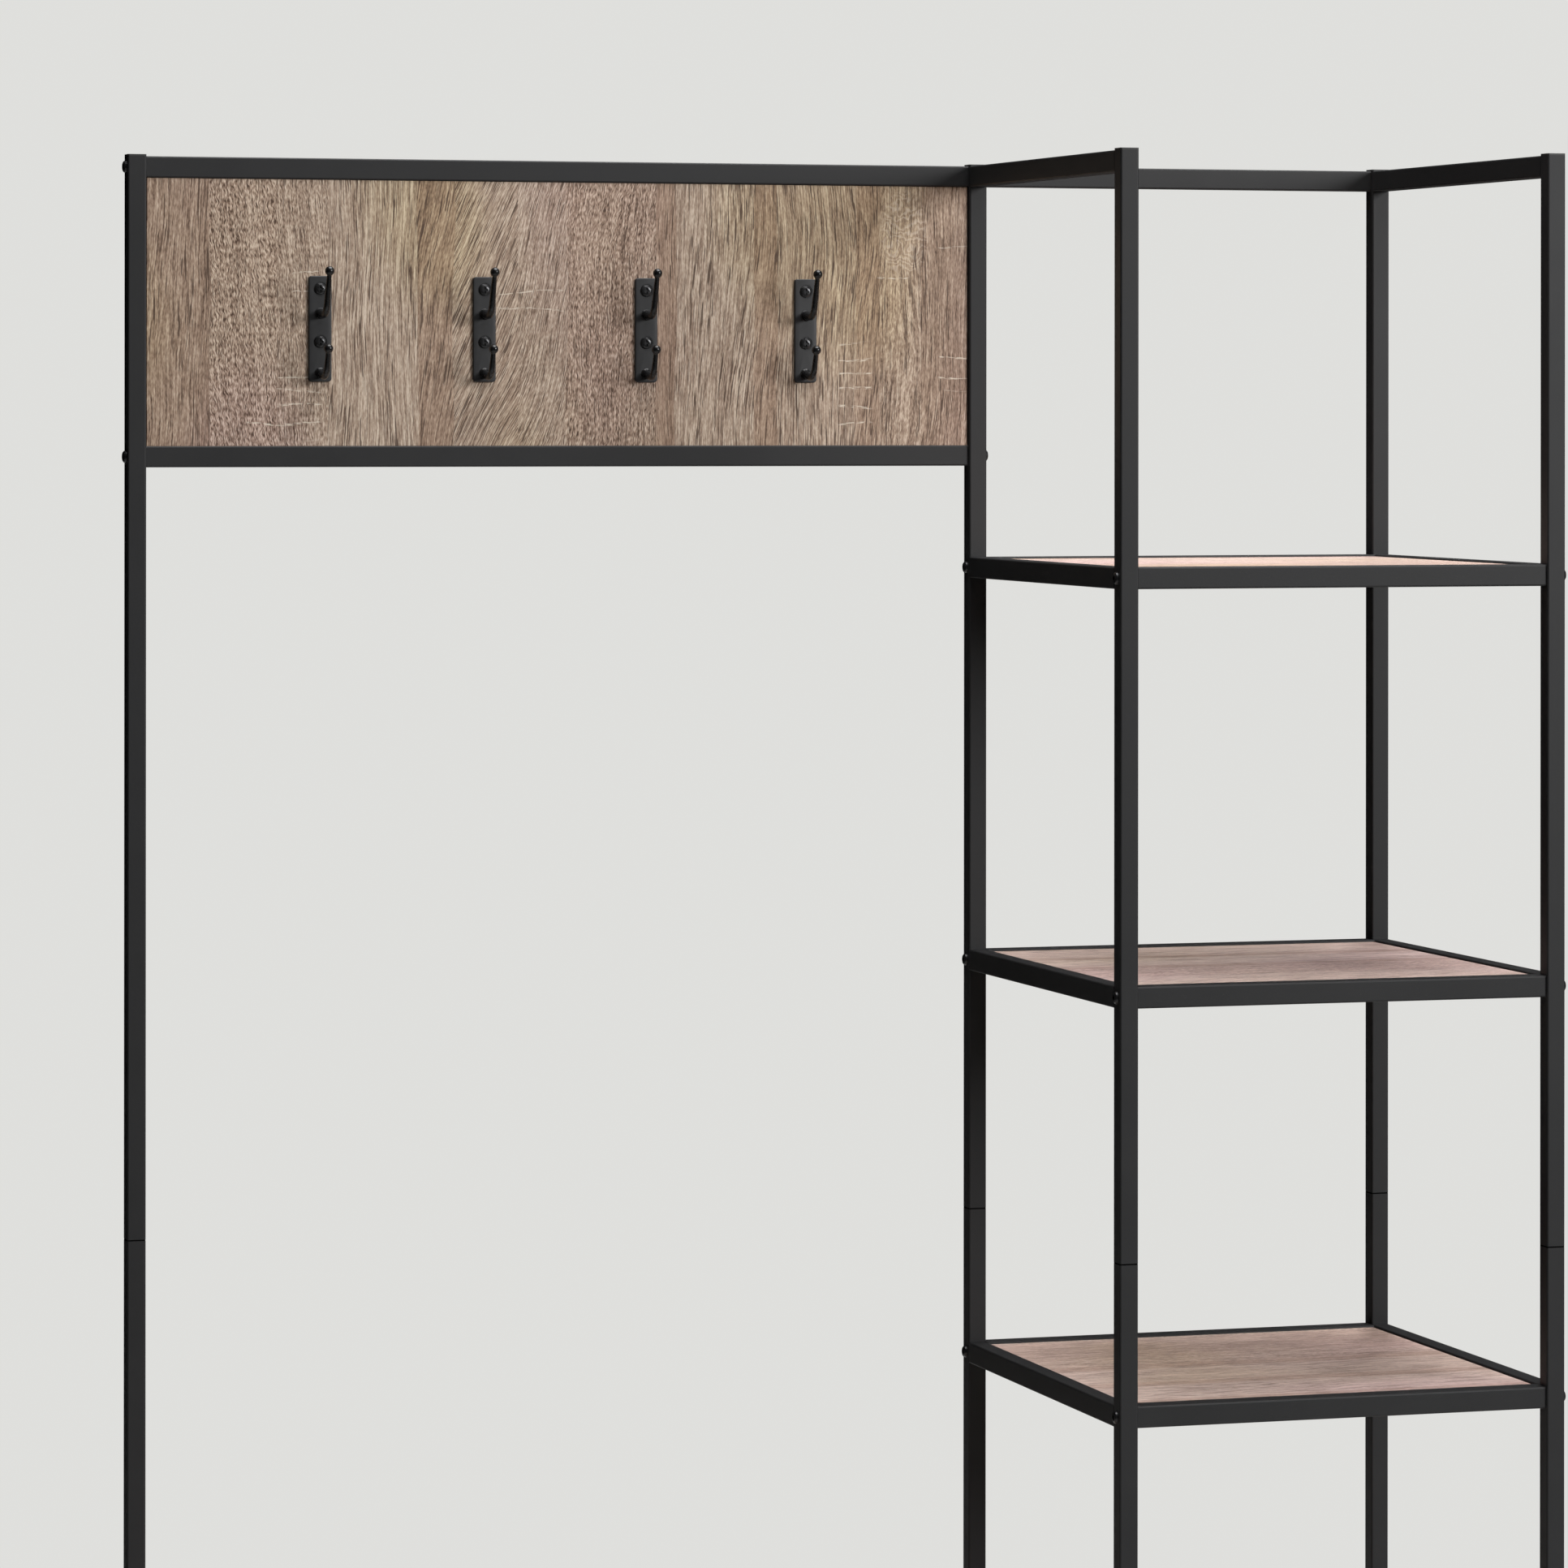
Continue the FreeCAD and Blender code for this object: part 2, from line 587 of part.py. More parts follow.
def add_prong(body, name):
    """One prong: a round rod that leaves the plate, turns up round a bend and ends in a ball."""
    cell = {k: f"dims.{name}_{k}" for k in ("root", "bend_level", "bend_reach", "bend_radius")}
    tip_level, tip_reach = f"dims.{name}_tip_level", f"dims.{name}_tip_reach"
    root = Vector(value_of(cell["root"]), value_of("dims.prong_start"))
    centre = Vector(value_of(cell["bend_level"]), value_of(cell["bend_reach"]))
    tip = Vector(value_of(tip_level), value_of(tip_reach))
    radius = value_of(cell["bend_radius"])

    def touch(point, side):
        """Where the line from point touches the bend, on the side given by the sign."""
        arm = point - centre
        turn = side * math.acos(radius / arm.Length)
        return centre + Rotation(Vector(0, 0, 1), math.degrees(turn)).multVec(arm) * (radius / arm.Length)

    start, end = touch(root, -1), touch(tip, 1)
    low, high = (math.atan2(p.y - centre.y, p.x - centre.x) for p in (end, start))
    path = add_sketch(body, f"{name}_path", "YZ_Plane")
    path.addGeometry(Part.LineSegment(root, start))
    bend = Part.Circle(centre, Vector(0, 0, 1), radius)
    path.addGeometry(Part.ArcOfCircle(bend, low, high + 2 * math.pi))
    path.addGeometry(Part.LineSegment(end, tip))
    path.addConstraint(Sketcher.Constraint("Tangent", 0, 2, 1, 2))
    path.addConstraint(Sketcher.Constraint("Tangent", 2, 1, 1, 1))
    for x, y, geometry, point in (
        (cell["root"], "dims.prong_start", 0, 1),
        (cell["bend_level"], cell["bend_reach"], 1, 3),
        (tip_level, tip_reach, 2, 2),
    ):
        dimension(path, x, "DistanceX", -1, 1, geometry, point)
        dimension(path, y, "DistanceY", -1, 1, geometry, point)
    dimension(path, cell["bend_radius"], "Radius", 1)

    section = add_sketch(body, f"{name}_section", y=cell["root"], z="dims.prong_start")
    sketch_circle(section, "dims.prong_radius")
    rod = add_feature(body, "PartDesign::AdditivePipe", f"{name}_rod")
    rod.Profile = section
    rod.Spine = (path, [f"Edge{k}" for k in (1, 2, 3)])
    ball = add_feature(body, "PartDesign::AdditiveSphere", f"{name}_ball")
    attach(ball, "XY_Plane", y=tip_level, z=tip_reach)
    bind(ball, Radius="dims.prong_ball")
    boss = add_feature(body, "PartDesign::AdditiveCone", f"{name}_boss")
    attach(boss, "XY_Plane", y=cell["root"], z="dims.hook_plate_thickness")
    bind(boss, Radius1="dims.boss_radius", Radius2="dims.prong_radius", Height="dims.boss_height")


def build_hook(number):
    """A double hook: a plate with two prongs. Its own X is the width, Y the height and Z outwards."""
    body = new_node(f"hook_{number}")
    outline = add_sketch(body, "outline", y="dims.hook_plate_height / 2")
    sketch_rounded_rectangle(
        outline, "dims.hook_plate_width", "dims.hook_plate_height", "dims.hook_plate_corner"
    )
    plate = pad(body, outline, "plate", "dims.hook_plate_thickness")
    doc.recompute()
    front = max(range(len(plate.Shape.Faces)), key=lambda k: plate.Shape.Faces[k].CenterOfMass.z)
    chamfer = add_feature(body, "PartDesign::Chamfer", "chamfer")
    chamfer.Base = (plate, [f"Face{front + 1}"])
    bind(chamfer, Size="dims.hook_plate_chamfer")
    for name in ("upper", "lower"):
        add_prong(body, name)
    for name in ("low", "high"):
        level = f"dims.hook_screw_{name}"
        cut_cylinder(body, f"{name}_hole", "dims.hook_hole_radius", "dims.hook_plate_thickness", y=level)
        cut_cylinder(
            body,
            f"{name}_sink",
            "dims.hook_sink_radius",
            "dims.hook_sink_depth",
            y=level,
            z="dims.hook_plate_thickness - dims.hook_sink_depth",
        )
    place(body, f"{PANEL_X} + {hook_step(number)}", PANEL_FRONT, "dims.hook_foot", FACING_FRONT)


def hook_step(number):
    """How far a hook is from the middle of the panel: they are evenly spaced about it."""
    return f"dims.hook_pitch * {number - (HOOKS[0] + HOOKS[-1]) / 2}"


def build_group(name, master, places):
    """A node of separate identical solids: links to one master body, each at its own place."""
    links = []
    for number, (x, y, z, rotation) in enumerate(places, start=1):
        link = doc.addObject("App::Link", f"{name}_{number}")
        link.LinkedObject = master
        link.LinkTransform = True
        links.append(place(link, x, y, z, rotation))
    return links


def add_group_node(name, *link_sets):
    group = doc.addObject("Part::Compound", name)
    group.Links = [link for links in link_sets for link in links]
    nodes.append(group)


def bolt_master():
    """A button-head bolt along its own Z: the head's underside at 0, the shank below it."""
    body = new_body("bolt")
    half = add_sketch(body, "half", "XZ_Plane", y="0 - dims.bolt_length")
    rim = "dims.bolt_head_radius"
    sketch_outline(
        half,
        [
            ("0", "0"),
            ("dims.bolt_radius - 0.5", "0"),
            ("dims.bolt_radius", "0.5"),
            ("dims.bolt_radius", "dims.bolt_length"),
            (rim, "dims.bolt_length"),
            (rim, "dims.bolt_length + dims.bolt_head_height * 0.25"),
            (f"{rim} * 0.92", "dims.bolt_length + dims.bolt_head_height * 0.62"),
            (f"{rim} * 0.76", "dims.bolt_length + dims.bolt_head_height * 0.87"),
            (f"{rim} * 0.55", "dims.bolt_length + dims.bolt_head_height"),
            ("0", "dims.bolt_length + dims.bolt_head_height"),
        ],
    )
    revolve(body, half, "turned")
    socket = add_feature(body, "PartDesign::SubtractivePrism", "socket")
    attach(socket, "XY_Plane", z="dims.bolt_head_height - dims.bolt_socket_depth")
    socket.Polygon = 6
    bind(socket, Circumradius="dims.bolt_socket_radius", Height="dims.bolt_socket_depth")
    return body


def stud_master():
    """A double-ended stud along its own Z, its middle at 0."""
    body = new_body("stud")
    section = add_sketch(body, "section", z="0 - dims.stud_length / 2")
    sketch_circle(section, "dims.bolt_radius")
    pad(body, section, "rod", "dims.stud_length")
    return body


def build_frame_bolts():
    """Bolts with their heads against the posts' outer sides, and studs where two rails share a post."""
    outside_left = f"{{}} - {HALF_POST}"
    outside_right = f"{{}} + {HALF_POST}"
    top, hook_bottom = rail_middle(TOP_LEVEL), rail_middle("dims.hook_rail_top")
    bolts, studs = [], []
    for number in SHELVES:
        level = rail_middle(f"dims.level_{number}")
        for y in POST_Y.values():
            bolts.append((outside_right.format(POST_X["outer"]), y, level, HEAD_RIGHT))
            if number in BENCH_LEVELS:
                bolts.append((outside_left.format(POST_X["bench"]), y, level, HEAD_LEFT))
                studs.append((POST_X["inner"], y, level, HEAD_RIGHT))
            else:
                bolts.append((outside_left.format(POST_X["inner"]), y, level, HEAD_LEFT))
    back = POST_Y["back"]
    for level in (top, hook_bottom):
        bolts.append((outside_left.format(POST_X["bench"]), back, level, HEAD_LEFT))
    bolts.append((outside_right.format(POST_X["inner"]), back, hook_bottom, HEAD_RIGHT))
    bolts.append((outside_right.format(POST_X["outer"]), back, top, HEAD_RIGHT))
    studs.append((POST_X["inner"], back, top, HEAD_RIGHT))
    add_group_node(
        "frame_bolts_and_studs",
        build_group("bolt_copy", bolt_master(), bolts),
        build_group("stud_copy", stud_master(), studs),
    )


def board_screw_master():
    """A countersunk screw along its own Z: the head's flat top at 0, the shank below it."""
    body = new_body("board_screw")
    half = add_sketch(body, "half", "XZ_Plane", y="0 - dims.board_screw_length")
    sketch_outline(
        half,
        [
            ("0", "0"),
            ("dims.board_screw_radius", "2"),
            ("dims.board_screw_radius", "dims.board_screw_length - dims.board_screw_head_radius / 2"),
            ("dims.board_screw_head_radius", "dims.board_screw_length"),
            ("0", "dims.board_screw_length"),
        ],
    )
    revolve(body, half, "turned")
    return body


def tab_screw_places(left, right, columns, level):
    """The screws that go up through a level's tabs into its board."""
    length = f"({right} - {left} - dims.post_side)"
    z = f"{level} - dims.board_drop - dims.board_thickness - dims.tab_thickness"
    return [
        (f"({left} + {right}) / 2 + {x}", tab_screw_y(row), z, HEAD_DOWN)
        for x in tab_columns(length, columns)
        for row in POST_Y
    ]


def build_board_screws():
    places = []
    for number in SHELVES:
        places += tab_screw_places(POST_X["inner"], POST_X["outer"], TOWER_TABS, f"dims.level_{number}")
    for number in BENCH_LEVELS:
        places += tab_screw_places(POST_X["bench"], POST_X["inner"], BENCH_TABS, f"dims.level_{number}")
    length = f"({POST_X['inner']} - {POST_X['bench']} - dims.post_side)"
    for x in tab_columns(length, BENCH_TABS):
        for z in PANEL_SCREW_Z.values():
            places.append((f"{PANEL_X} + {x}", "dims.frame_depth / 2", z, HEAD_BACK))
    add_group_node("board_screws", build_group("board_screw_copy", board_screw_master(), places))


def hook_screw_master():
    """A pan-head screw with a cross recess, along its own Z: the head's underside at 0."""
    body = new_body("hook_screw")
    half = add_sketch(body, "half", "XZ_Plane", y="0 - dims.hook_screw_grip")
    rim, radius, grip = "dims.hook_screw_head_radius", "dims.hook_screw_radius", "dims.hook_screw_grip"
    head = "dims.hook_screw_head_height"
    sketch_outline(
        half,
        [
            ("0", "0"),
            (radius, "2"),
            (radius, grip),
            (rim, grip),
            (rim, f"{grip} + {head} * 0.35"),
            (f"{rim} * 0.9", f"{grip} + {head} * 0.68"),
            (f"{rim} * 0.7", f"{grip} + {head} * 0.9"),
            (f"{rim} * 0.45", f"{grip} + {head}"),
            ("0", f"{grip} + {head}"),
        ],
    )
    revolve(body, half, "turned")
    floor_of_cross = f"{head} - dims.cross_depth"
    arm = ("dims.cross_length", "dims.cross_width", "dims.cross_depth")
    for name, (length, width, depth) in {"arm": arm, "other_arm": (arm[1], arm[0], arm[2])}.items():
        middle = {"x": f"0 - {length} / 2", "y": f"0 - {width} / 2", "z": floor_of_cross}
        add_box(body, name, (length, width, depth), **middle, kind="Subtractive")
    return body


def build_hook_screws():
    seat = f"{PANEL_FRONT} - dims.hook_plate_thickness + dims.hook_sink_depth"
    places = [
        (f"{PANEL_X} + {hook_step(number)}", seat, f"dims.hook_foot + dims.hook_screw_{name}", FACING_FRONT)
        for number in HOOKS
        for name in ("low", "high")
    ]
    add_group_node("hook_screws", build_group("hook_screw_copy", hook_screw_master(), places))


def cap_master():
    """A post's top cap along its own Z: the plate above 0, the plug below."""
    body = new_body("cap")
    plate = add_sketch(body, "outline")
    sketch_rounded_rectangle(plate, "dims.post_side", "dims.post_side", "dims.post_corner")
    pad(body, plate, "plate", "dims.cap_thickness")
    plug = add_sketch(body, "plug_outline", z="0 - dims.cap_plug")
    sketch_rectangle(plug, INSERT_SIDE, INSERT_SIDE)
    pad(body, plug, "plug", "dims.cap_plug")
    return body


def glide_master():
    """A post's foot along its own Z: a tapered pad from the floor to the post's end, and a plug above."""
    body = new_body("glide")
    outline = add_sketch(body, "outline", z="dims.glide_height")
    sketch_rounded_rectangle(outline, "dims.post_side", "dims.post_side", "dims.post_corner")
    foot = pad(body, outline, "foot", "dims.glide_height")
    foot.Reversed = True
    foot.TaperAngle = -12
    plug = add_sketch(body, "plug_outline", z="dims.glide_height")
    sketch_rectangle(plug, INSERT_SIDE, INSERT_SIDE)
    pad(body, plug, "plug", "dims.glide_plug")
    return body


def sleeve_master():
    """The inner sleeve that joins a post's two lengths, along its own Z: a thin collar at 0 parts them."""
    body = new_body("sleeve")
    section = add_sketch(body, "section", z="0 - dims.sleeve_length / 2")
    sketch_rectangle(section, INSERT_SIDE, INSERT_SIDE)
    inner = f"{INSERT_SIDE} - 2 * dims.sleeve_wall"
    sketch_rectangle(section, inner, inner)
    pad(body, section, "tube", "dims.sleeve_length")
    collar = add_sketch(body, "collar_section", z="0 - dims.collar_height / 2")
    collar_side = "dims.post_side - 2 * dims.collar_setback"
    sketch_rectangle(collar, collar_side, collar_side)
    sketch_rectangle(collar, inner, inner)
    pad(body, collar, "collar", "dims.collar_height")
    return body


def build_inserts():
    tall = [("bench", "back")] + [(column, row) for column in ("inner", "outer") for row in POST_Y]
    tops = [(POST_X[c], POST_Y[r], TOP_LEVEL, UPRIGHT) for c, r in tall]
    leg = (POST_X["bench"], POST_Y["front"])
    feet = [(POST_X[c], POST_Y[r], "0", UPRIGHT) for c, r in tall] + [(*leg, "0", UPRIGHT)]
    joints = [(POST_X[c], POST_Y[r], "dims.post_split", UPRIGHT) for c, r in tall]
    tops.append((*leg, "dims.level_4", UPRIGHT))
    add_group_node("post_caps", build_group("cap_copy", cap_master(), tops))
    add_group_node("foot_glides", build_group("glide_copy", glide_master(), feet))
    add_group_node("post_sleeves", build_group("sleeve_copy", sleeve_master(), joints))


def check_document():
    """Stops before anything is written if an object failed or a sub-part's shape isn't sound."""
    bad = [f"{o.Name}: {o.State}" for o in doc.Objects if {"Invalid", "Error"} & set(o.State)]
    for node in nodes:
        if node.Shape.isNull() or not node.Shape.isValid() or not node.Shape.Solids:
            bad.append(f"{node.Label}: shape isn't sound")
    if bad:
        raise SystemExit("\n".join(bad))


def write_parts():
    os.makedirs("parts", exist_ok=True)
    for old in os.listdir("parts"):
        os.remove(os.path.join("parts", old))
    for node in nodes:
        node.Shape.exportStep(f"parts/{node.Label}.step")
    print(f"{len(nodes)} sub-parts, {sum(len(node.Shape.Solids) for node in nodes)} solids")


build_sheet()
build_posts()
build_shelf_rails()
build_bench_rails()
build_hook_frame()
build_boards()
for hook in HOOKS:
    build_hook(hook)
build_hook_screws()
build_board_screws()
build_frame_bolts()
build_inserts()
doc.recompute()
check_document()
write_parts()
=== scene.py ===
"""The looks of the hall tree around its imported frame: materials, hooks, floor, lights, camera."""

import json
import math

import bmesh
import bpy
from mathutils import Matrix, Vector


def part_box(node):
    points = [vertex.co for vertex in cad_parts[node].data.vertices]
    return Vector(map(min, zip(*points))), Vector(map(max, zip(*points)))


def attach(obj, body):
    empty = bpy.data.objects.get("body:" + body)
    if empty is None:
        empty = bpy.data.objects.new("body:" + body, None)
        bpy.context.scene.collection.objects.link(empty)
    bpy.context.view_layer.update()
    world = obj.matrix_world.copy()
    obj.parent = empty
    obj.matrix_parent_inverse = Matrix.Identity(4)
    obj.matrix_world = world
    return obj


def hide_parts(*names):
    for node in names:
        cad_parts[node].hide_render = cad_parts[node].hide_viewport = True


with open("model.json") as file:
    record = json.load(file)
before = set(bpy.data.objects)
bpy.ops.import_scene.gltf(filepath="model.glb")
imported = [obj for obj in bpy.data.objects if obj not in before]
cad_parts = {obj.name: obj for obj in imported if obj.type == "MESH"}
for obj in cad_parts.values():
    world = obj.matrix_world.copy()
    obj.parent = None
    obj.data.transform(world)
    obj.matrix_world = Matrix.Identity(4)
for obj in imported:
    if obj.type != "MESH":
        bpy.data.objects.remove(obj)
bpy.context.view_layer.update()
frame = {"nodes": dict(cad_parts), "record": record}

MM = 0.001


class Tree:
    """A material's shader nodes. A value may be a number, a colour or another node's socket."""

    def __init__(self, name):
        self.material = bpy.data.materials.new(name)
        self.material.use_nodes = True
        self.nodes = self.material.node_tree.nodes
        self.links = self.material.node_tree.links
        self.shader = self.nodes["Principled BSDF"]
        self.output = self.nodes["Material Output"]

    def add(self, kind, inputs=(), **settings):
        node = self.nodes.new("ShaderNode" + kind)
        for name, value in settings.items():
            setattr(node, name, value)
        for key, value in dict(inputs).items():
            self.put(node.inputs[key], value)
        return node

    def put(self, socket, value):
        if isinstance(value, bpy.types.NodeSocket):
            self.links.new(value, socket)
        elif isinstance(value, tuple) and len(value) == 3 and socket.type == "RGBA":
            socket.default_value = (*value, 1)
        else:
            socket.default_value = value

    def math(self, operation, a, b=0.0):
        return self.add("Math", {0: a, 1: b}, operation=operation).outputs[0]

    def plus(self, a, b):
        return self.math("ADD", a, b)

    def minus(self, a, b):
        return self.math("SUBTRACT", a, b)

    def times(self, a, b):
        return self.math("MULTIPLY", a, b)

    def over(self, a, b):
        return self.math("DIVIDE", a, b)

    def square(self, a):
        return self.math("POWER", a, 2.0)

    def distance(self, a, b):
        """How far the point (a, b) is from the origin."""
        return self.math("SQRT", self.plus(self.square(a), self.square(b)))

    def swing(self, value, amount):
        """A value about 0.5 as one about 0, scaled by the amount."""
        return self.times(self.minus(value, 0.5), amount)

    def scaled(self, vector, factor):
        return self.add("VectorMath", {0: vector, 3: factor}, operation="SCALE").outputs[0]

    def noise(self, vector, detail=2.0, roughness=0.5):
        """Noise of unit size in the vector's own units, about 0.5."""
        inputs = {"Vector": vector, "Scale": 1.0, "Detail": detail, "Roughness": roughness}
        return self.add("TexNoise", inputs).outputs["Fac"]

    def cloud(self, u, v, width, length, seed, detail=1, roughness=0.5):
        """Noise over the plane of u and v, about as wide and long as given."""
        where = self.add("CombineXYZ", {0: self.over(u, width), 1: self.over(v, length), 2: seed})
        return self.noise(where.outputs[0], detail, roughness)

    def step(self, value, low, high):
        """Rises smoothly from 0 at low to 1 at high, or falls if low is above high."""
        if low > high:
            return self.minus(1.0, self.step(value, high, low))
        inputs = {"Value": value, "From Min": low, "From Max": high}
        return self.add("MapRange", inputs, interpolation_type="SMOOTHSTEP").outputs["Result"]

    def between(self, value, rise, fall):
        """The product of two steps: 1 between the rise and the fall, and 0 outside them."""
        return self.times(self.step(value, *rise), self.step(value, *fall))

    def spread(self, value, low, high):
        """A value from 0 to 1 as one from low to high."""
        return self.add("MapRange", {"Value": value, "To Min": low, "To Max": high}).outputs[0]

    def ramp(self, share, stops, interpolation="LINEAR"):
        """The colour at a share of the way along stops of (place, colour)."""
        node = self.add("ValToRGB", {0: share})
        node.color_ramp.interpolation = interpolation
        elements = node.color_ramp.elements
        for k, (place, colour) in enumerate(stops):
            element = elements[k] if k < 2 else elements.new(place)
            element.position = place
            element.color = (*colour, 1)
        return node.outputs["Color"]

    def mix(self, share, a, b, blend="MIX"):
        node = self.add("Mix", data_type="RGBA", blend_type=blend, clamp_factor=True)
        self.put(node.inputs["Factor"], share)
        self.put(node.inputs[6], a)
        self.put(node.inputs[7], b)
        return node.outputs[2]

    def bump(self, height, distance, strength):
        inputs = {"Height": height, "Distance": distance, "Strength": strength}
        self.put(self.shader.inputs["Normal"], self.add("Bump", inputs).outputs[0])

    def shade(self, **inputs):
        for name, value in inputs.items():
            self.put(self.shader.inputs[name.replace("_", " ")], value)

    def place(self, unit=MM):
        """The point on the object in the row frame, and its x, y and z, in units of the given size."""
        scaled = self.scaled(self.add("TexCoord").outputs["Object"], 1 / unit)
        return scaled, self.add("SeparateXYZ", {0: scaled}).outputs


# Colours are in linear light. Where a look has two shades, it drifts between them, and gloss is the
# lowest and highest roughness. Sizes of drift are in millimetres.
POWDER = {
    "shades": ((0.0165, 0.0165, 0.0172), (0.0215, 0.0215, 0.0223)),
    "drift_size": 60,
    "speck": (0.05, 0.05, 0.052),
    "speck_edge": (0.62, 0.74),
    "speck_share": 0.35,
    "gloss": (0.44, 0.56),
    "specular": 0.25,
    "relief": (0.05 * MM, 0.6),
}


def powder_coat():
    """Fine satin black powder coat: a faint orange peel, and gloss that drifts a little."""
    tree = Tree("powder_coat")
    point, _ = tree.place()
    drift = tree.noise(tree.scaled(point, 1 / POWDER["drift_size"]), detail=3)
    grain = tree.noise(point, detail=3, roughness=0.6)
    speck = tree.times(tree.step(grain, *POWDER["speck_edge"]), POWDER["speck_share"])
    tree.shade(Base_Color=tree.mix(speck, tree.mix(drift, *POWDER["shades"]), POWDER["speck"]))
    tree.shade(Roughness=tree.spread(drift, *POWDER["gloss"]), Specular_IOR_Level=POWDER["specular"])
    tree.bump(grain, *POWDER["relief"])
    return tree.material


# Unevenness of the smooth blacks: the finest size in metres, how much broader the drift in shade and
# gloss is, and the limits of that drift as a factor on the colour and steps from the roughness.
SATIN = {
    "cell": 0.8 * MM,
    "broad": 0.12,
    "lighter": 1.5,
    "smoother": 0.06,
    "rougher": 0.08,
    "relief": (0.02 * MM, 0.5),
}


def satin_black(name, colour, roughness, metallic=0.0, specular=0.5):
    """Smooth black paint, plastic or oxide, with small unevenness in gloss and surface."""
    tree = Tree(name)
    point, _ = tree.place(SATIN["cell"])
    fine = tree.noise(point, detail=2)
    broad = tree.noise(tree.scaled(point, SATIN["broad"]), detail=2)
    lighter = tuple(c * SATIN["lighter"] for c in colour)
    tree.shade(Base_Color=tree.mix(broad, colour, lighter), Metallic=metallic, Specular_IOR_Level=specular)
    tree.shade(Roughness=tree.spread(broad, roughness - SATIN["smoother"], roughness + SATIN["rougher"]))
    tree.bump(fine, *SATIN["relief"])
    return tree.material


# The prongs' glossier paint, and their darker colour, which is painted shade, start where the hook stands
# this far, in millimetres, clear of its plate.
HOOK_PAINT = {
    "clear_of_plate": (0.3, 1.5),
    "plate_shades": ((0.0190, 0.0190, 0.0200), (0.0235, 0.0235, 0.0245)),
    "prong_painted_shade": (0.0060, 0.0060, 0.0065),
    "broad": 0.15,
    "gloss": (0.36, 0.46),
    "prong_smoother": 0.13,
    "specular": 0.35,
    "relief": (0.03 * MM, 0.5),
}


def hook_paint():
    """Satin black paint, glossier on the prongs, which stand clear of the plate, and darker there as
    painted shade.
    """
    tree = Tree("hook_paint")
    point, axes = tree.place()
    low, high = HOOK_PAINT["clear_of_plate"]
    reach = tree.times(axes[1], -1.0)
    prong = tree.step(reach, PLATE["thickness"] + low, PLATE["thickness"] + high)
    broad = tree.noise(tree.scaled(point, HOOK_PAINT["broad"]), detail=2)
    plate = tree.mix(broad, *HOOK_PAINT["plate_shades"])
    gloss = tree.spread(broad, *HOOK_PAINT["gloss"])
    # The prongs' base colour is darkened as painted shade, as if their sides faced away from the light.
    tree.shade(Base_Color=tree.mix(prong, plate, HOOK_PAINT["prong_painted_shade"]))
    tree.shade(Roughness=tree.minus(gloss, tree.times(prong, HOOK_PAINT["prong_smoother"])))
    tree.shade(Specular_IOR_Level=HOOK_PAINT["specular"])
    tree.bump(tree.noise(point, detail=2), *HOOK_PAINT["relief"])
    return tree.material


ZINC = {"cell": 1.5 * MM, "shades": ((0.42, 0.42, 0.40), (0.62, 0.62, 0.58)), "gloss": (0.25, 0.45)}


def zinc_plate():
    """Cloudy zinc plating of the board screws."""
    tree = Tree("zinc_plate")
    point, _ = tree.place(ZINC["cell"])
    cloud = tree.noise(point, detail=4)
    tree.shade(Base_Color=tree.mix(cloud, *ZINC["shades"]), Metallic=1.0)
    tree.shade(Roughness=tree.spread(cloud, *ZINC["gloss"]))
    return tree.material


# The decor print of the boards repeats after this many millimetres across the grain.
PRINT_REPEAT = 733.0

# Every BOARD_STEP millimetres through a board's thickness, the print starts elsewhere, with another
# seed, so that each board has its own.
BOARD_STEP = 60
BOARD_SHIFT = 217.0
BOARD_SEED = 3.7

# The print's staves: where each starts (0 to 1 across the print), which way its grain leans (0.5 is
# upright), how crumbled its figure is, and how dark and brown its tone is.
STAVES = (
    (0.000, 0.47, 0.10, 0.60),
    (0.074, 0.56, 1.00, 0.50),
    (0.150, 0.54, 0.55, 0.30),
    (0.212, 0.48, 0.05, 0.18),
    (0.318, 0.40, 0.05, 0.75),
    (0.362, 0.24, 0.08, 0.30),
    (0.440, 0.34, 0.25, 0.22),
    (0.497, 0.45, 0.70, 0.55),
    (0.607, 0.49, 0.00, 0.80),
    (0.632, 0.47, 0.05, 0.20),
    (0.730, 0.48, 0.00, 0.75),
    (0.756, 0.49, 0.02, 0.30),
    (0.852, 0.47, 0.05, 0.75),
    (0.885, 0.50, 0.30, 0.45),
    (0.935, 0.47, 0.10, 0.60),
)

# The curly figure's place in the print, across and along the grain, its half sizes, its arches' pitch,
# how many pitches they waver and how wide and long a waver is, where in a pitch they rise and fall,
# and where the figure ends.
CURL = {
    "u": 672.0,
    "v": 1768.0,
    "width": 22.0,
    "length": 40.0,
    "pitch": 7.0,
    "waver": 6.0,
    "waver_size": (13, 16),
    "dark": ((0.05, 0.16), (0.34, 0.20)),
    "pale": ((0.40, 0.55), (0.90, 0.70)),
    "end": (1.15, 0.7),
}

# Groups of saw marks: the left and right end across the print, and the lower and upper end along it.
SAW_GROUPS = (
    (112.0, 150.0, 1590.0, 1655.0),
    (84.0, 114.0, 1596.0, 1612.0),
    (126.0, 148.0, 1712.0, 1740.0),
    (305.0, 365.0, 1698.0, 1718.0),
    (612.0, 642.0, 1592.0, 1672.0),
    (648.0, 676.0, 1718.0, 1732.0),
    (704.0, 730.0, 1632.0, 1668.0),
    (704.0, 730.0, 1752.0, 1768.0),
    (96.0, 148.0, -420.0, -370.0),
    (250.0, 300.0, -150.0, -90.0),
    (100.0, 150.0, 230.0, 290.0),
    (330.0, 370.0, 380.0, 440.0),
)

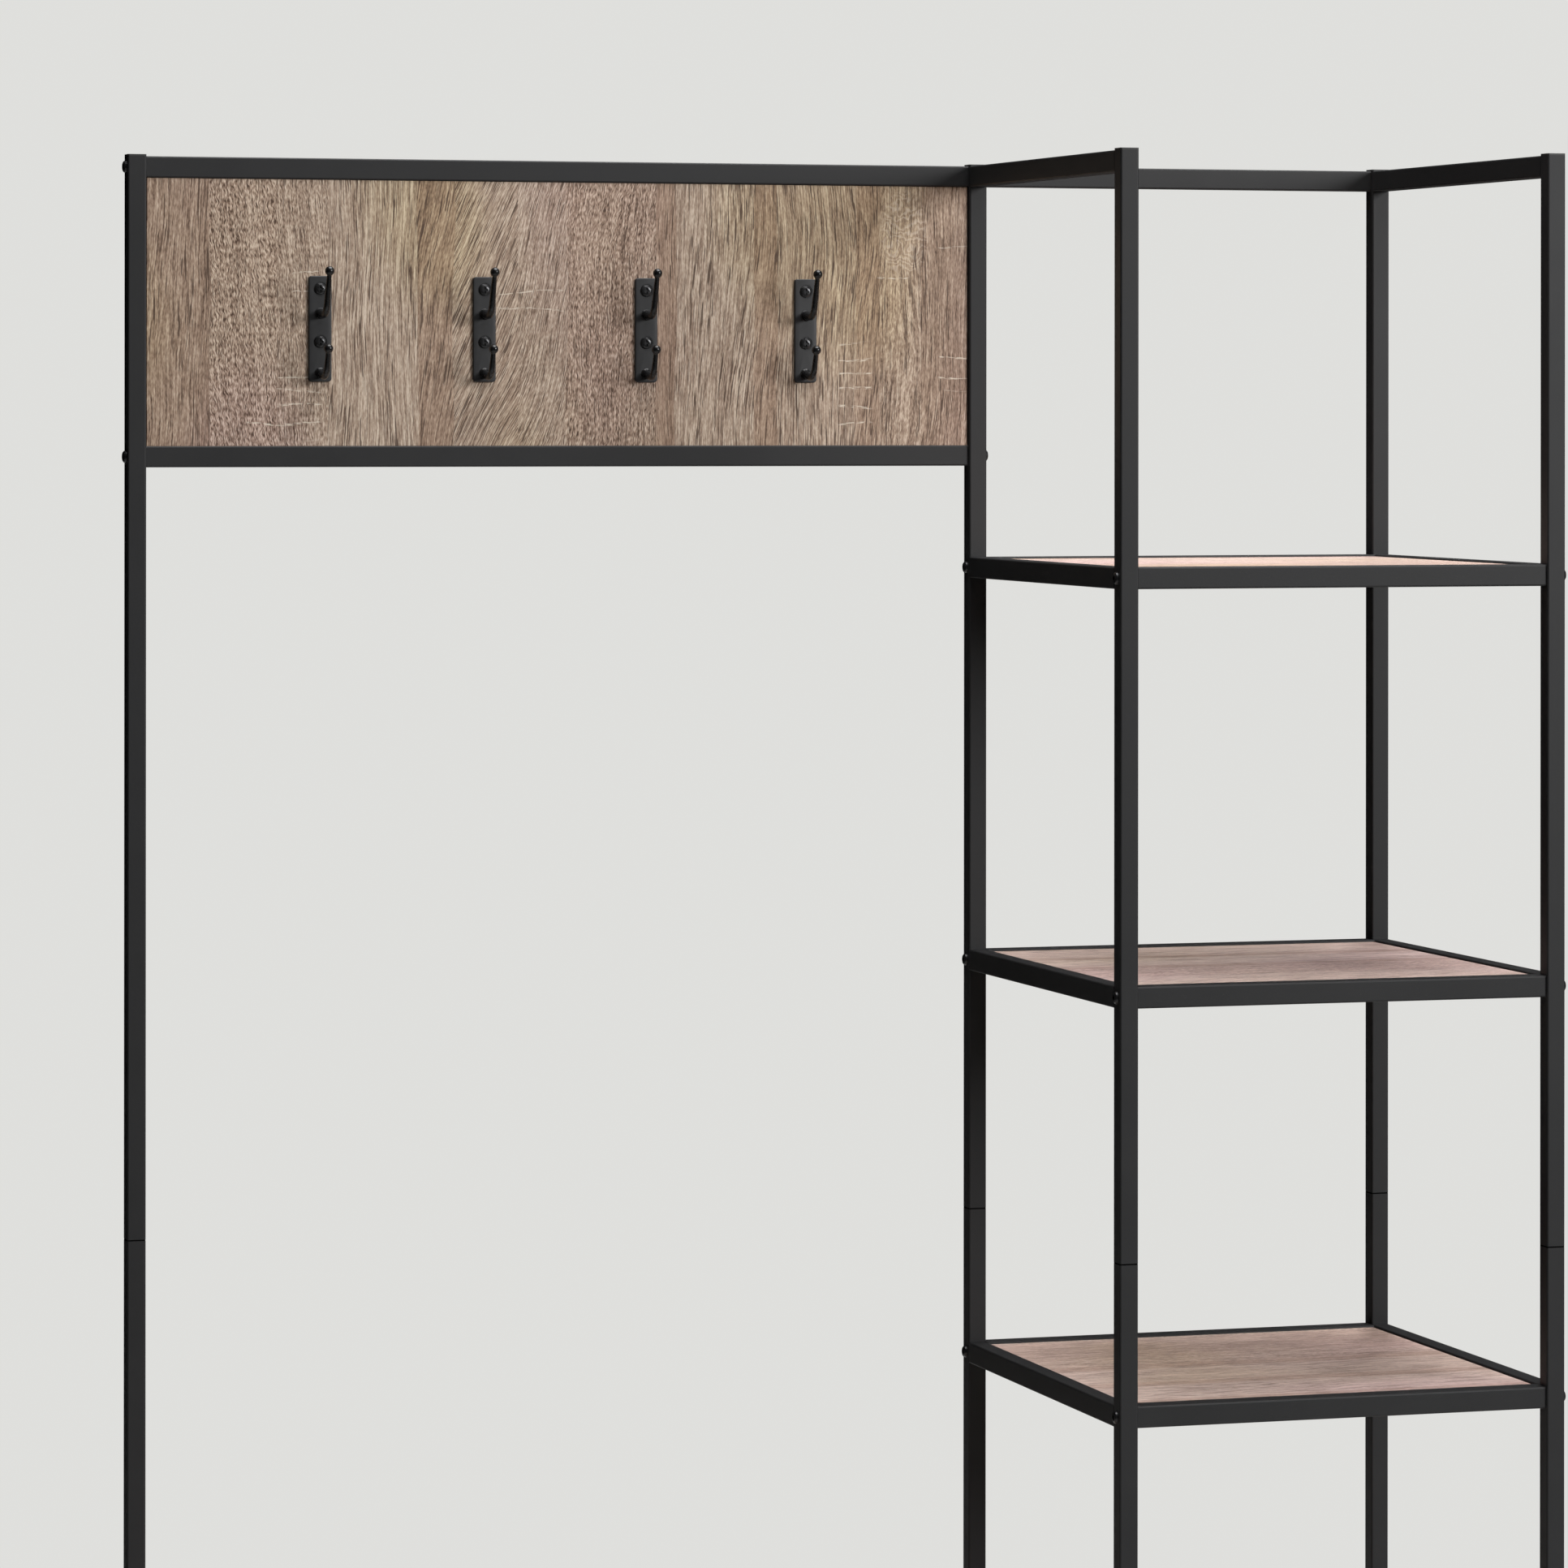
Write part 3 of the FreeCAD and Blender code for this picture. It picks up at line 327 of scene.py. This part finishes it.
# Colours of the print in linear light, from the darkest pores to the palest fibres.
PANEL_TONES = {
    "pore": (0.072, 0.042, 0.028),
    "brown": (0.247, 0.173, 0.125),
    "tan": (0.389, 0.297, 0.226),
    "pale": (0.609, 0.510, 0.410),
    "saw": (0.700, 0.620, 0.510),
}
SHELF_TONES = {
    "pore": (0.190, 0.138, 0.118),
    "brown": (0.370, 0.270, 0.230),
    "tan": (0.500, 0.385, 0.336),
    "pale": (0.640, 0.515, 0.455),
    "saw": (0.700, 0.600, 0.530),
}

# The saw marks' pitch, their waver in pitches and how wide and long it is, where in a pitch a mark
# rises and falls, how softly its group ends, and the noise that wears it away.
SAW_MARK = {
    "pitch": 14,
    "waver": 1.1,
    "waver_size": (70, 25),
    "line": ((0.02, 0.06), (0.17, 0.12)),
    "side_blur": 2,
    "end_blur": 4,
    "worn": (0.44, 0.58),
    "worn_size": (6, 1.2),
}

# Noise over the print, about this wide and long in millimetres, as a shift across the grain: of the
# staves' edges, of the grain's slow sway, and of its jumble, in full or in part by the crumble.
STAVE_WAVER = {"width": 60, "length": 120, "amount": 9.0}
GRAIN_SWAY = {"width": 90, "length": 190, "amount": 26.0}
GRAIN_JUMBLE = {"width": 6, "length": 8, "amount": 6.0}
JUMBLE_EVERYWHERE, JUMBLE_CRUMBLED = 0.06, 0.6
LEAN_SLOPE = 1.5
LEAN_SEED = 9.0

# The figure's streaks, drawn out along the grain, and how much each changes the print's paleness.
FIGURE = {
    "band": ({"width": 22.0, "length": 700.0, "seed": 1.0, "detail": 2}, 0.45),
    "streak": ({"width": 3.0, "length": 420.0, "seed": 7.0, "detail": 3, "roughness": 0.65}, 0.60),
    "fibre": ({"width": 0.95, "length": 30.0, "seed": 13.0, "detail": 1, "roughness": 0.6}, 1.60),
    "fleck": ({"width": 1.0, "length": 4.2, "seed": 17.0, "detail": 1}, 2.7),
}
FLECK_EVERYWHERE, FLECK_CRUMBLED = 0.30, 0.70
FIBRE_EVERYWHERE, FIBRE_LOST_IN_DARK = 1.1, 0.6
PALENESS, PALENESS_LOST_IN_DARK = 0.68, 0.30

# Fissures: where their noise becomes one, where they crowd, and where a stave leans enough for them.
FISSURE = {"width": 0.8, "length": 24.0, "seed": 23.0, "detail": 0}
FISSURE_EDGE = (0.60, 0.66)
CROWD = {"width": 12.0, "length": 90.0, "seed": 29.0, "detail": 1}
CROWD_EDGE = (0.28, 0.52)
CROWD_LOST_IN_CRUMBLE = 0.4
SLANTING = (0.40, 0.24)
SLANTING_CROWD = 0.9

# Where each tone lies on the ramp from dark to pale, and how paleness is laid on it.
TONE_PLACES = {"pore": 0.08, "brown": 0.36, "tan": 0.60, "pale": 0.90}
RAMP_GAIN, RAMP_START = 0.8, 0.1

# Tints over the tones: brown staves are redder, and broad patches lean to yellow or to mauve.
DARK_TINT, DARK_TINT_SHARE = (1.0, 0.91, 0.85), 0.9
PATCH = {"width": 210, "length": 400}
PATCH_TINTS = {(0.48, 0.34): (1.0, 1.0, 0.88), (0.50, 0.66): (1.0, 0.96, 1.03)}

# How strongly the curly figure, the fissures and the saw marks cover what is under them.
COVER = {"dark_arches": 0.50, "pale_arches": 0.45, "fissures": 0.9, "saw_marks": 0.8}

OAK_SPECULAR = 0.25
OAK_GLOSS_SPREAD = 0.06
OAK_RELIEF = (0.12 * MM, 0.6)
PALE_RELIEF = 0.6


class OakPrint:
    """The boards' oak print: staves side by side, each with its own tone, lean and figure.

    across, along and through are 0, 1 or 2 for x, y or z: the grain runs along, and through is the
    board's thickness, which sets one board's print apart from the next. offset is the print's start
    in millimetres. u and v are the place in the print across and along the grain, lean, crumble and
    dark are the stave's, and grain is the grain's own coordinate across it.
    """

    def __init__(self, tree, across, along, through, offset):
        _, axes = tree.place()
        board = tree.math("FLOOR", tree.over(axes[through], BOARD_STEP))
        self.tree, self.v = tree, axes[along]
        self.u = tree.plus(tree.minus(axes[across], offset), tree.times(board, BOARD_SHIFT))
        self.layer = tree.times(board, BOARD_SEED)
        edge = tree.plus(self.u, self.waver(**STAVE_WAVER))
        share = tree.math("FRACT", tree.over(edge, PRINT_REPEAT))
        stave = tree.ramp(share, [(start, looks) for start, *looks in STAVES], "CONSTANT")
        self.lean, self.crumble, self.dark = tree.add("SeparateColor", {0: stave}).outputs[:3]
        jumbled = tree.plus(tree.times(self.crumble, JUMBLE_CRUMBLED), JUMBLE_EVERYWHERE)
        leaning = tree.plus(self.u, tree.times(self.v, tree.swing(self.lean, LEAN_SLOPE)))
        swaying = tree.plus(leaning, self.waver(**GRAIN_SWAY))
        self.grain = tree.plus(swaying, tree.times(self.waver(**GRAIN_JUMBLE), jumbled))

    def waver(self, width, length, amount):
        """A shift by up to about half the amount either way, from noise over the print."""
        return self.tree.swing(self.tree.cloud(self.u, self.v, width, length, self.layer), amount)

    def streaks(self, width, length, seed, detail, roughness=0.5):
        """Noise drawn out along the grain, about width by length millimetres."""
        tree = self.tree
        depth = tree.plus(tree.plus(self.layer, tree.times(self.lean, LEAN_SEED)), seed)
        return tree.cloud(self.grain, self.v, width, length, depth, detail, roughness)

    def figure(self, name, contrast=1.0):
        streaks, amount = FIGURE[name]
        return self.tree.swing(self.streaks(**streaks), amount * contrast)

    def paleness(self, contrast):
        """How pale the print is, from broad bands, streaks, fibres and flecks."""
        tree = self.tree
        crumbled = tree.plus(tree.times(self.crumble, FLECK_CRUMBLED), FLECK_EVERYWHERE)
        fleck = tree.times(self.figure("fleck", contrast), crumbled)
        clear = tree.minus(FIBRE_EVERYWHERE, tree.times(self.dark, FIBRE_LOST_IN_DARK))
        fibre = tree.times(self.figure("fibre", contrast), clear)
        broad = tree.plus(self.figure("band"), self.figure("streak"))
        pale = tree.plus(tree.plus(broad, tree.plus(fibre, fleck)), PALENESS)
        return tree.minus(pale, tree.times(self.dark, PALENESS_LOST_IN_DARK))

    def fissures(self):
        """Long thin fissures, which crowd together in places and in staves that lean."""
        tree = self.tree
        thin = tree.step(self.streaks(**FISSURE), *FISSURE_EDGE)
        whole = tree.minus(1.0, tree.times(self.crumble, CROWD_LOST_IN_CRUMBLE))
        crowd = tree.times(tree.step(self.streaks(**CROWD), *CROWD_EDGE), whole)
        slanting = tree.times(tree.step(self.lean, *SLANTING), SLANTING_CROWD)
        return tree.times(thin, tree.math("MAXIMUM", crowd, slanting))

    def saw_marks(self):
        """Groups of short pale lines square to the grain, each group in its own place in the print."""
        tree, u, v = self.tree, self.u, self.v
        side, end = SAW_MARK["side_blur"], SAW_MARK["end_blur"]
        waver = tree.cloud(u, v, *SAW_MARK["waver_size"], seed=3.0)
        waver = tree.times(waver, SAW_MARK["waver"])
        turns = tree.math("FRACT", tree.plus(tree.over(v, SAW_MARK["pitch"]), waver))
        line = tree.between(turns, *SAW_MARK["line"])
        patch = 0.0
        for left, right, low, high in SAW_GROUPS:
            across = tree.between(u, (left - side, left + side), (right + side, right - side))
            along = tree.between(v, (low - end, low + end), (high + end, high - end))
            patch = tree.math("MAXIMUM", patch, tree.times(across, along))
        worn = tree.cloud(u, v, *SAW_MARK["worn_size"], seed=9.0, detail=3)
        worn = tree.step(worn, *SAW_MARK["worn"])
        return tree.times(tree.times(line, patch), worn)

    def curly_figure(self):
        """Wavy arches, dark and pale, stacked at one place in the print; both are 0 away from it."""
        tree, u, v = self.tree, self.u, self.v
        across = tree.over(tree.minus(u, CURL["u"]), CURL["width"])
        along = tree.over(tree.minus(v, CURL["v"]), CURL["length"])
        near = tree.step(tree.distance(across, along), *CURL["end"])
        waver = tree.times(tree.cloud(u, v, *CURL["waver_size"], seed=1.0, detail=2), CURL["waver"])
        arches = tree.minus(tree.over(v, CURL["pitch"]), tree.square(across))
        turns = tree.math("FRACT", tree.plus(arches, waver))
        return [tree.times(tree.between(turns, *CURL[kind]), near) for kind in ("dark", "pale")]


def oak_print(name, across, along, through, offset, tones, gloss, contrast):
    """Oak laminate in the given tones. gloss is its roughness; contrast scales fibres and fissures."""
    tree = Tree(name)
    wood = OakPrint(tree, across, along, through, offset)
    pale, fissures = wood.paleness(contrast), wood.fissures()

    shade = tree.plus(tree.times(pale, RAMP_GAIN), RAMP_START)
    colour = tree.ramp(shade, [(place, tones[tone]) for tone, place in TONE_PLACES.items()])
    dark = tree.times(wood.dark, DARK_TINT_SHARE)
    colour = tree.mix(dark, colour, DARK_TINT, blend="MULTIPLY")
    patch = tree.cloud(wood.u, wood.v, **PATCH, seed=wood.layer)
    for edge, tint in PATCH_TINTS.items():
        colour = tree.mix(tree.step(patch, *edge), colour, tint, blend="MULTIPLY")

    dark_arches, pale_arches = wood.curly_figure()
    layers = (
        (dark_arches, COVER["dark_arches"], "brown"),
        (pale_arches, COVER["pale_arches"], "pale"),
        (fissures, COVER["fissures"] * contrast, "pore"),
        (wood.saw_marks(), COVER["saw_marks"], "saw"),
    )
    for layer, cover, tone in layers:
        colour = tree.mix(tree.times(layer, cover), colour, tones[tone])

    tree.shade(Base_Color=colour, Specular_IOR_Level=OAK_SPECULAR)
    tree.shade(Roughness=tree.spread(pale, gloss - OAK_GLOSS_SPREAD, gloss + OAK_GLOSS_SPREAD))
    tree.bump(tree.minus(tree.times(pale, PALE_RELIEF), fissures), *OAK_RELIEF)
    return tree.material


X, Y, Z = 0, 1, 2

PANEL_OAK = {"across": X, "along": Z, "through": Y, "offset": 96.0, "gloss": 0.55, "contrast": 1.0}
SHELF_OAK = {"across": Y, "along": X, "through": Z, "offset": 0.0, "gloss": 0.52, "contrast": 1.15}
CAP_PLASTIC = {"colour": (0.014, 0.014, 0.014), "roughness": 0.55}
SCREW_OXIDE = {"colour": (0.030, 0.030, 0.031), "roughness": 0.28, "metallic": 0.7}
BOLT_OXIDE = {"colour": (0.022, 0.022, 0.023), "roughness": 0.34, "metallic": 0.6}

# The sleeves' collars are black plastic, made near-black and without gloss, darker than the posts, as
# painted shadow in the joint lines.
SLEEVE_PLASTIC_AND_JOINT_SHADOW = {"colour": (0.0015, 0.0015, 0.0015), "roughness": 0.85, "specular": 0.02}


def paint_frame():
    """Gives every carried-over node its material by its slot in the record."""
    looks = {
        "frame_steel": powder_coat(),
        "hook_panel_wood": oak_print("panel_oak", tones=PANEL_TONES, **PANEL_OAK),
        "shelf_wood": oak_print("shelf_oak", tones=SHELF_TONES, **SHELF_OAK),
        "black_plastic": satin_black("cap_plastic", **CAP_PLASTIC),
        "hook_metal": hook_paint(),
        "hook_screw_metal": satin_black("screw_oxide", **SCREW_OXIDE),
        "bolt_metal": satin_black("bolt_oxide", **BOLT_OXIDE),
        "board_screw_metal": zinc_plate(),
    }
    for part in frame["record"]["subparts"]:
        mesh = frame["nodes"][part["node"]].data
        mesh.materials.clear()
        mesh.materials.append(looks[part["material_slot"]])
    # The post sleeves get the near-black look: painted shadow in the joints.
    sleeves = frame["nodes"]["post_sleeves"].data
    sleeves.materials[0] = satin_black("sleeve_plastic_joint_shadow", **SLEEVE_PLASTIC_AND_JOINT_SHADOW)
    return looks


# The hook in millimetres. Heights are from its plate's lower edge and reaches from the panel, and a
# bend or a tip is given as (height, reach). A rod narrows from the first radius to the second.
PLATE = {"width": 20.0, "height": 90.0, "thickness": 3.0, "corner": 3.0, "edge": 0.9}
PRONGS = (
    {"root": 58.0, "bend": (69.0, 17.0), "bend_radius": 12.0, "tip": (93.5, 38.0)},
    {"root": 7.5, "bend": (17.0, 17.0), "bend_radius": 12.5, "tip": (28.0, 34.0)},
)
PRONG_START = 1.0
BOSS_RADIUS = 5.0
FLARE_LENGTH = 2.2
ROD_RADIUS = (3.2, 2.0)
ROD_TAPER = 1.4
BALL_RADIUS = 4.0
BALL_BLEND = 6
SCREW_LEVELS = (34.0, 79.0)
SINK = {"radius": 5.9, "depth": 0.5}

# How finely the hook's mesh is divided.
ROOT_STEPS, BEND_STEPS, TIP_STEPS = 20, 40, 40
RING_SPACING = 0.5
ROD_SIDES = 28
BALL_RINGS = 10
CORNER_STEPS = 8
EDGE_STEPS = 6
SEAT_SIDES = 64
SHARP_ANGLE = math.radians(32)

HOOK_NUMBERS = range(1, 5)


def rod_line(prong):
    """Points along a prong's centreline, as (height, reach), evenly spaced: a line, a bend and a line."""
    root = Vector((prong["root"], PRONG_START))
    centre, tip, radius = Vector(prong["bend"]), Vector(prong["tip"]), prong["bend_radius"]

    def touch(point, side):
        arm = point - centre
        turn = side * math.acos(radius / arm.length)
        return centre + Matrix.Rotation(turn, 2) @ arm * (radius / arm.length)

    start, end = touch(root, -1), touch(tip, 1)
    first = math.atan2(start.y - centre.y, start.x - centre.x) + 2 * math.pi
    last = math.atan2(end.y - centre.y, end.x - centre.x)
    line = [root.lerp(start, k / ROOT_STEPS) for k in range(ROOT_STEPS)]
    for k in range(BEND_STEPS + 1):
        angle = first + (last - first) * k / BEND_STEPS
        line.append(centre + radius * Vector((math.cos(angle), math.sin(angle))))
    line += [end.lerp(tip, k / TIP_STEPS) for k in range(1, TIP_STEPS + 1)]
    lengths = [0.0]
    for a, b in zip(line, line[1:]):
        lengths.append(lengths[-1] + (b - a).length)
    count = round(lengths[-1] / RING_SPACING)
    points, k = [], 0
    for n in range(count + 1):
        s = lengths[-1] * n / count
        while k < len(line) - 2 and lengths[k + 1] < s:
            k += 1
        share = (s - lengths[k]) / (lengths[k + 1] - lengths[k])
        points.append((line[k].lerp(line[k + 1], share), s))
    return points, lengths[-1]


def ball_radius(offset):
    """The ball's radius in a section this far from its centre, 0 outside it."""
    return math.sqrt(max(BALL_RADIUS**2 - offset**2, 0))


def rod_radius(s, length):
    """The prong's radius at a distance s along it: a flared root, a slow taper, and a ball at the tip."""
    clear = max(s - PLATE["thickness"] + PRONG_START, 0)
    flare = (BOSS_RADIUS - ROD_RADIUS[0]) * math.exp(-clear / FLARE_LENGTH)
    share = min(max(s / (length - BALL_RADIUS), 0), 1)
    rod = ROD_RADIUS[0] + (ROD_RADIUS[1] - ROD_RADIUS[0]) * share**ROD_TAPER + flare
    ball = ball_radius(s - length)
    if not ball:
        return rod
    return (rod**BALL_BLEND + ball**BALL_BLEND) ** (1 / BALL_BLEND)


def bridge(mesh, rings):
    """Faces between neighbouring rings of vertices, and one that closes the first ring."""
    sides = len(rings[0])
    for low, high in zip(rings, rings[1:]):
        for n in range(sides):
            m = (n + 1) % sides
            mesh.faces.new((low[n], low[m], high[m], high[n]))
    mesh.faces.new(list(reversed(rings[0])))


def add_prong(mesh, prong):
    """Sweeps the prong's round section along its line into a bmesh, closed at both ends."""
    points, length = rod_line(prong)
    before, at = points[-2][0], points[-1][0]
    way = (at - before).normalized()
    for k in range(1, BALL_RINGS):
        s = BALL_RADIUS * math.sin(k / BALL_RINGS * math.pi / 2)
        points.append((at + way * s, length + s))
    rings = []
    for k, (point, s) in enumerate(points):
        ahead = points[min(k + 1, len(points) - 1)][0] - points[max(k - 1, 0)][0]
        ahead.normalize()
        radius = rod_radius(s, length) if s <= length else ball_radius(s - length)
        ring = []
        for n in range(ROD_SIDES):
            angle = 2 * math.pi * n / ROD_SIDES
            out = radius * math.sin(angle)
            height, reach = point.x - ahead.y * out, point.y + ahead.x * out
            ring.append(mesh.verts.new((radius * math.cos(angle), -reach, height)))
        rings.append(ring)
    bridge(mesh, rings)
    pole = points[-1][0] + way * (length + BALL_RADIUS - points[-1][1])
    top = mesh.verts.new((0, -pole.y, pole.x))
    for n in range(ROD_SIDES):
        mesh.faces.new((rings[-1][n], rings[-1][(n + 1) % ROD_SIDES], top))


def add_plate(mesh):
    """The hook's plate, of rounded outline in x and z, its front edges rounded."""
    corner, edge = PLATE["corner"], PLATE["edge"]
    outline = []
    for k, (x, z) in enumerate(((1, 0), (1, 1), (-1, 1), (-1, 0))):
        inwards = corner if z == 0 else -corner
        middle = Vector((x * (PLATE["width"] / 2 - corner), z * PLATE["height"] + inwards))
        start = (k - 1) * math.pi / 2
        for n in range(CORNER_STEPS + 1):
            angle = start + n / CORNER_STEPS * math.pi / 2
            outline.append((middle, Vector((math.cos(angle), math.sin(angle)))))
    layers = [(0.0, 0.0)]
    for k in range(EDGE_STEPS + 1):
        turn = k / EDGE_STEPS * math.pi / 2
        layers.append((-PLATE["thickness"] + edge * (1 - math.sin(turn)), edge * (1 - math.cos(turn))))
    rings = []
    for y, inset in layers:
        spots = [middle + way * (corner - inset) for middle, way in outline]
        rings.append([mesh.verts.new((spot.x, y, spot.y)) for spot in spots])
    bridge(mesh, rings)
    mesh.faces.new(rings[-1])


def add_seat(mesh, level):
    """A disc that cuts a screw's seat into the plate's front."""
    turn = Matrix.Translation((0, -PLATE["thickness"], level)) @ Matrix.Rotation(math.pi / 2, 4, "X")
    sizes = {"radius1": SINK["radius"], "radius2": SINK["radius"], "depth": 2 * SINK["depth"]}
    bmesh.ops.create_cone(mesh, cap_ends=True, segments=SEAT_SIDES, matrix=turn, **sizes)


def mesh_object(name, build):
    """An object whose mesh a function builds in millimetres."""
    mesh = bmesh.new()
    build(mesh)
    bmesh.ops.recalc_face_normals(mesh, faces=mesh.faces)
    bmesh.ops.scale(mesh, vec=(MM, MM, MM), verts=mesh.verts)
    data = bpy.data.meshes.new(name)
    mesh.to_mesh(data)
    mesh.free()
    obj = bpy.data.objects.new(name, data)
    bpy.context.scene.collection.objects.link(obj)
    return obj


def combine(target, others, operation):
    """Joins or cuts the others into the target for good, and removes them."""
    for other in others:
        cut = target.modifiers.new("cut", "BOOLEAN")
        cut.object, cut.operation, cut.solver = other, operation, "EXACT"
    bpy.context.view_layer.update()
    data = bpy.data.meshes.new_from_object(target.evaluated_get(bpy.context.evaluated_depsgraph_get()))
    target.modifiers.clear()
    target.data = data
    for other in others:
        bpy.data.objects.remove(other)


def hook_mesh():
    """One hook: a plate with two screw seats and two prongs that taper from a flared root to a ball."""
    hook = mesh_object("hook_master", add_plate)
    seats = [mesh_object("seat", lambda m, level=level: add_seat(m, level)) for level in SCREW_LEVELS]
    combine(hook, seats, "DIFFERENCE")
    combine(hook, [mesh_object("prong", lambda m, p=p: add_prong(m, p)) for p in PRONGS], "UNION")
    hook.data.shade_smooth()
    hook.data.set_sharp_from_angle(angle=SHARP_ANGLE)
    data = hook.data
    bpy.data.objects.remove(hook)
    return data


def build_hooks(look):
    """A hook, with the given look, in the place of each of the frame's own."""
    data = hook_mesh()
    data.materials.clear()
    data.materials.append(look)
    for number in HOOK_NUMBERS:
        low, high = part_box(f"hook_{number}")
        hook = bpy.data.objects.new(f"double_hook_{number}", data.copy())
        bpy.context.scene.collection.objects.link(hook)
        hook.location = ((low.x + high.x) / 2, high.y, low.z)
        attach(hook, "root")
        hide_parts(f"hook_{number}")


# The floor's radius, and where it fades out, in metres from the object's origin.
FLOOR = {"radius": 4, "vertices": 128, "fade": (1.2, 3.4)}
FLOOR_PAINT = {"Base_Color": (0.62, 0.62, 0.60), "Roughness": 0.85, "Specular_IOR_Level": 0.1}


def build_floor():
    """A pale round floor under the object, fading out into the pale surroundings."""
    sizes = {"vertices": FLOOR["vertices"], "radius": FLOOR["radius"]}
    bpy.ops.mesh.primitive_circle_add(fill_type="NGON", **sizes)
    floor = bpy.context.object
    floor.name = "floor"
    tree = Tree("floor_paint")
    tree.shade(**FLOOR_PAINT)
    _, axes = tree.place(1.0)
    away = tree.step(tree.distance(axes[0], axes[1]), *FLOOR["fade"])
    clear = tree.add("BsdfTransparent").outputs[0]
    fade = tree.add("MixShader", {0: away, 1: tree.shader.outputs[0], 2: clear})
    tree.put(tree.output.inputs["Surface"], fade.outputs[0])
    floor.data.materials.append(tree.material)


# The light from the surroundings rises from left to right, over these parts of its direction's x.
SKY_LIGHT = {"From Min": -0.35, "From Max": 0.35, "To Min": 0.03, "To Max": 0.16}
BACKDROP = (0.74, 0.74, 0.72, 1)


def build_surroundings():
    """A pale backdrop for the camera; for the object, an even dim light that is darker from the left."""
    world = bpy.data.worlds.new("studio")
    bpy.context.scene.world = world
    world.use_nodes = True
    nodes, links = world.node_tree.nodes, world.node_tree.links
    sky = nodes["Background"]
    way = nodes.new("ShaderNodeSeparateXYZ")
    links.new(nodes.new("ShaderNodeTexCoord").outputs["Generated"], way.inputs[0])
    side = nodes.new("ShaderNodeMapRange")
    side.interpolation_type = "SMOOTHSTEP"
    links.new(way.outputs["X"], side.inputs["Value"])
    for name, value in SKY_LIGHT.items():
        side.inputs[name].default_value = value
    links.new(side.outputs["Result"], sky.inputs["Strength"])
    pale = nodes.new("ShaderNodeBackground")
    pale.inputs["Color"].default_value = BACKDROP
    pale.inputs["Strength"].default_value = 1.0
    seen = nodes.new("ShaderNodeLightPath").outputs["Is Camera Ray"]
    mix = nodes.new("ShaderNodeMixShader")
    for k, socket in enumerate((seen, sky.outputs[0], pale.outputs[0])):
        links.new(socket, mix.inputs[k])
    links.new(mix.outputs[0], nodes["World Output"].inputs["Surface"])


# The lamps: place and aim, and the lamp's diameter, in metres; power in watts; and whether it shows
# in gloss.
LAMPS = {
    "key": ((3.6, -4.6, 2.9), (0.0, 0.0, 1.0), 2.2, 255, True),
    "overhead": ((0.4, -0.3, 4.6), (0.3, 0.0, 1.0), 3.0, 210, True),
    "back": ((1.8, 3.4, 3.8), (0.0, 0.0, 1.0), 2.0, 185, False),
}


def build_lights():
    """Round softboxes that face their aims."""
    for name, (place, aim, size, power, glossy) in LAMPS.items():
        light = bpy.data.lights.new(name, "AREA")
        light.shape, light.size, light.energy = "DISK", size, power
        lamp = bpy.data.objects.new(name, light)
        bpy.context.scene.collection.objects.link(lamp)
        lamp.location = place
        lamp.rotation_euler = (Vector(aim) - Vector(place)).to_track_quat("-Z", "Y").to_euler()
        lamp.visible_glossy = glossy


# The camera's place in metres, its lens and sensor in millimetres, and its shift in sensor widths.
CAMERA_PLACE = (-1.6299, -5.1266, 1.6157)
CAMERA_YAW = math.radians(17.12)
CAMERA_ROLL = math.radians(-0.04)
CAMERA_LENS = 146.94
CAMERA_RISE = -0.2392
SENSOR = 36.0


def build_camera():
    """The camera stands left of the object, turned to the right and level, its lens shifted down."""
    data = bpy.data.cameras.new("camera")
    data.sensor_width, data.lens, data.shift_y = SENSOR, CAMERA_LENS, CAMERA_RISE
    camera = bpy.data.objects.new("camera", data)
    bpy.context.scene.collection.objects.link(camera)
    camera.location = CAMERA_PLACE
    camera.rotation_euler = (math.pi / 2, CAMERA_ROLL, -CAMERA_YAW)
    bpy.context.scene.camera = camera


bpy.context.scene.view_settings.view_transform = "Standard"
materials = paint_frame()
build_hooks(materials["hook_metal"])
build_floor()
build_surroundings()
build_lights()
build_camera()
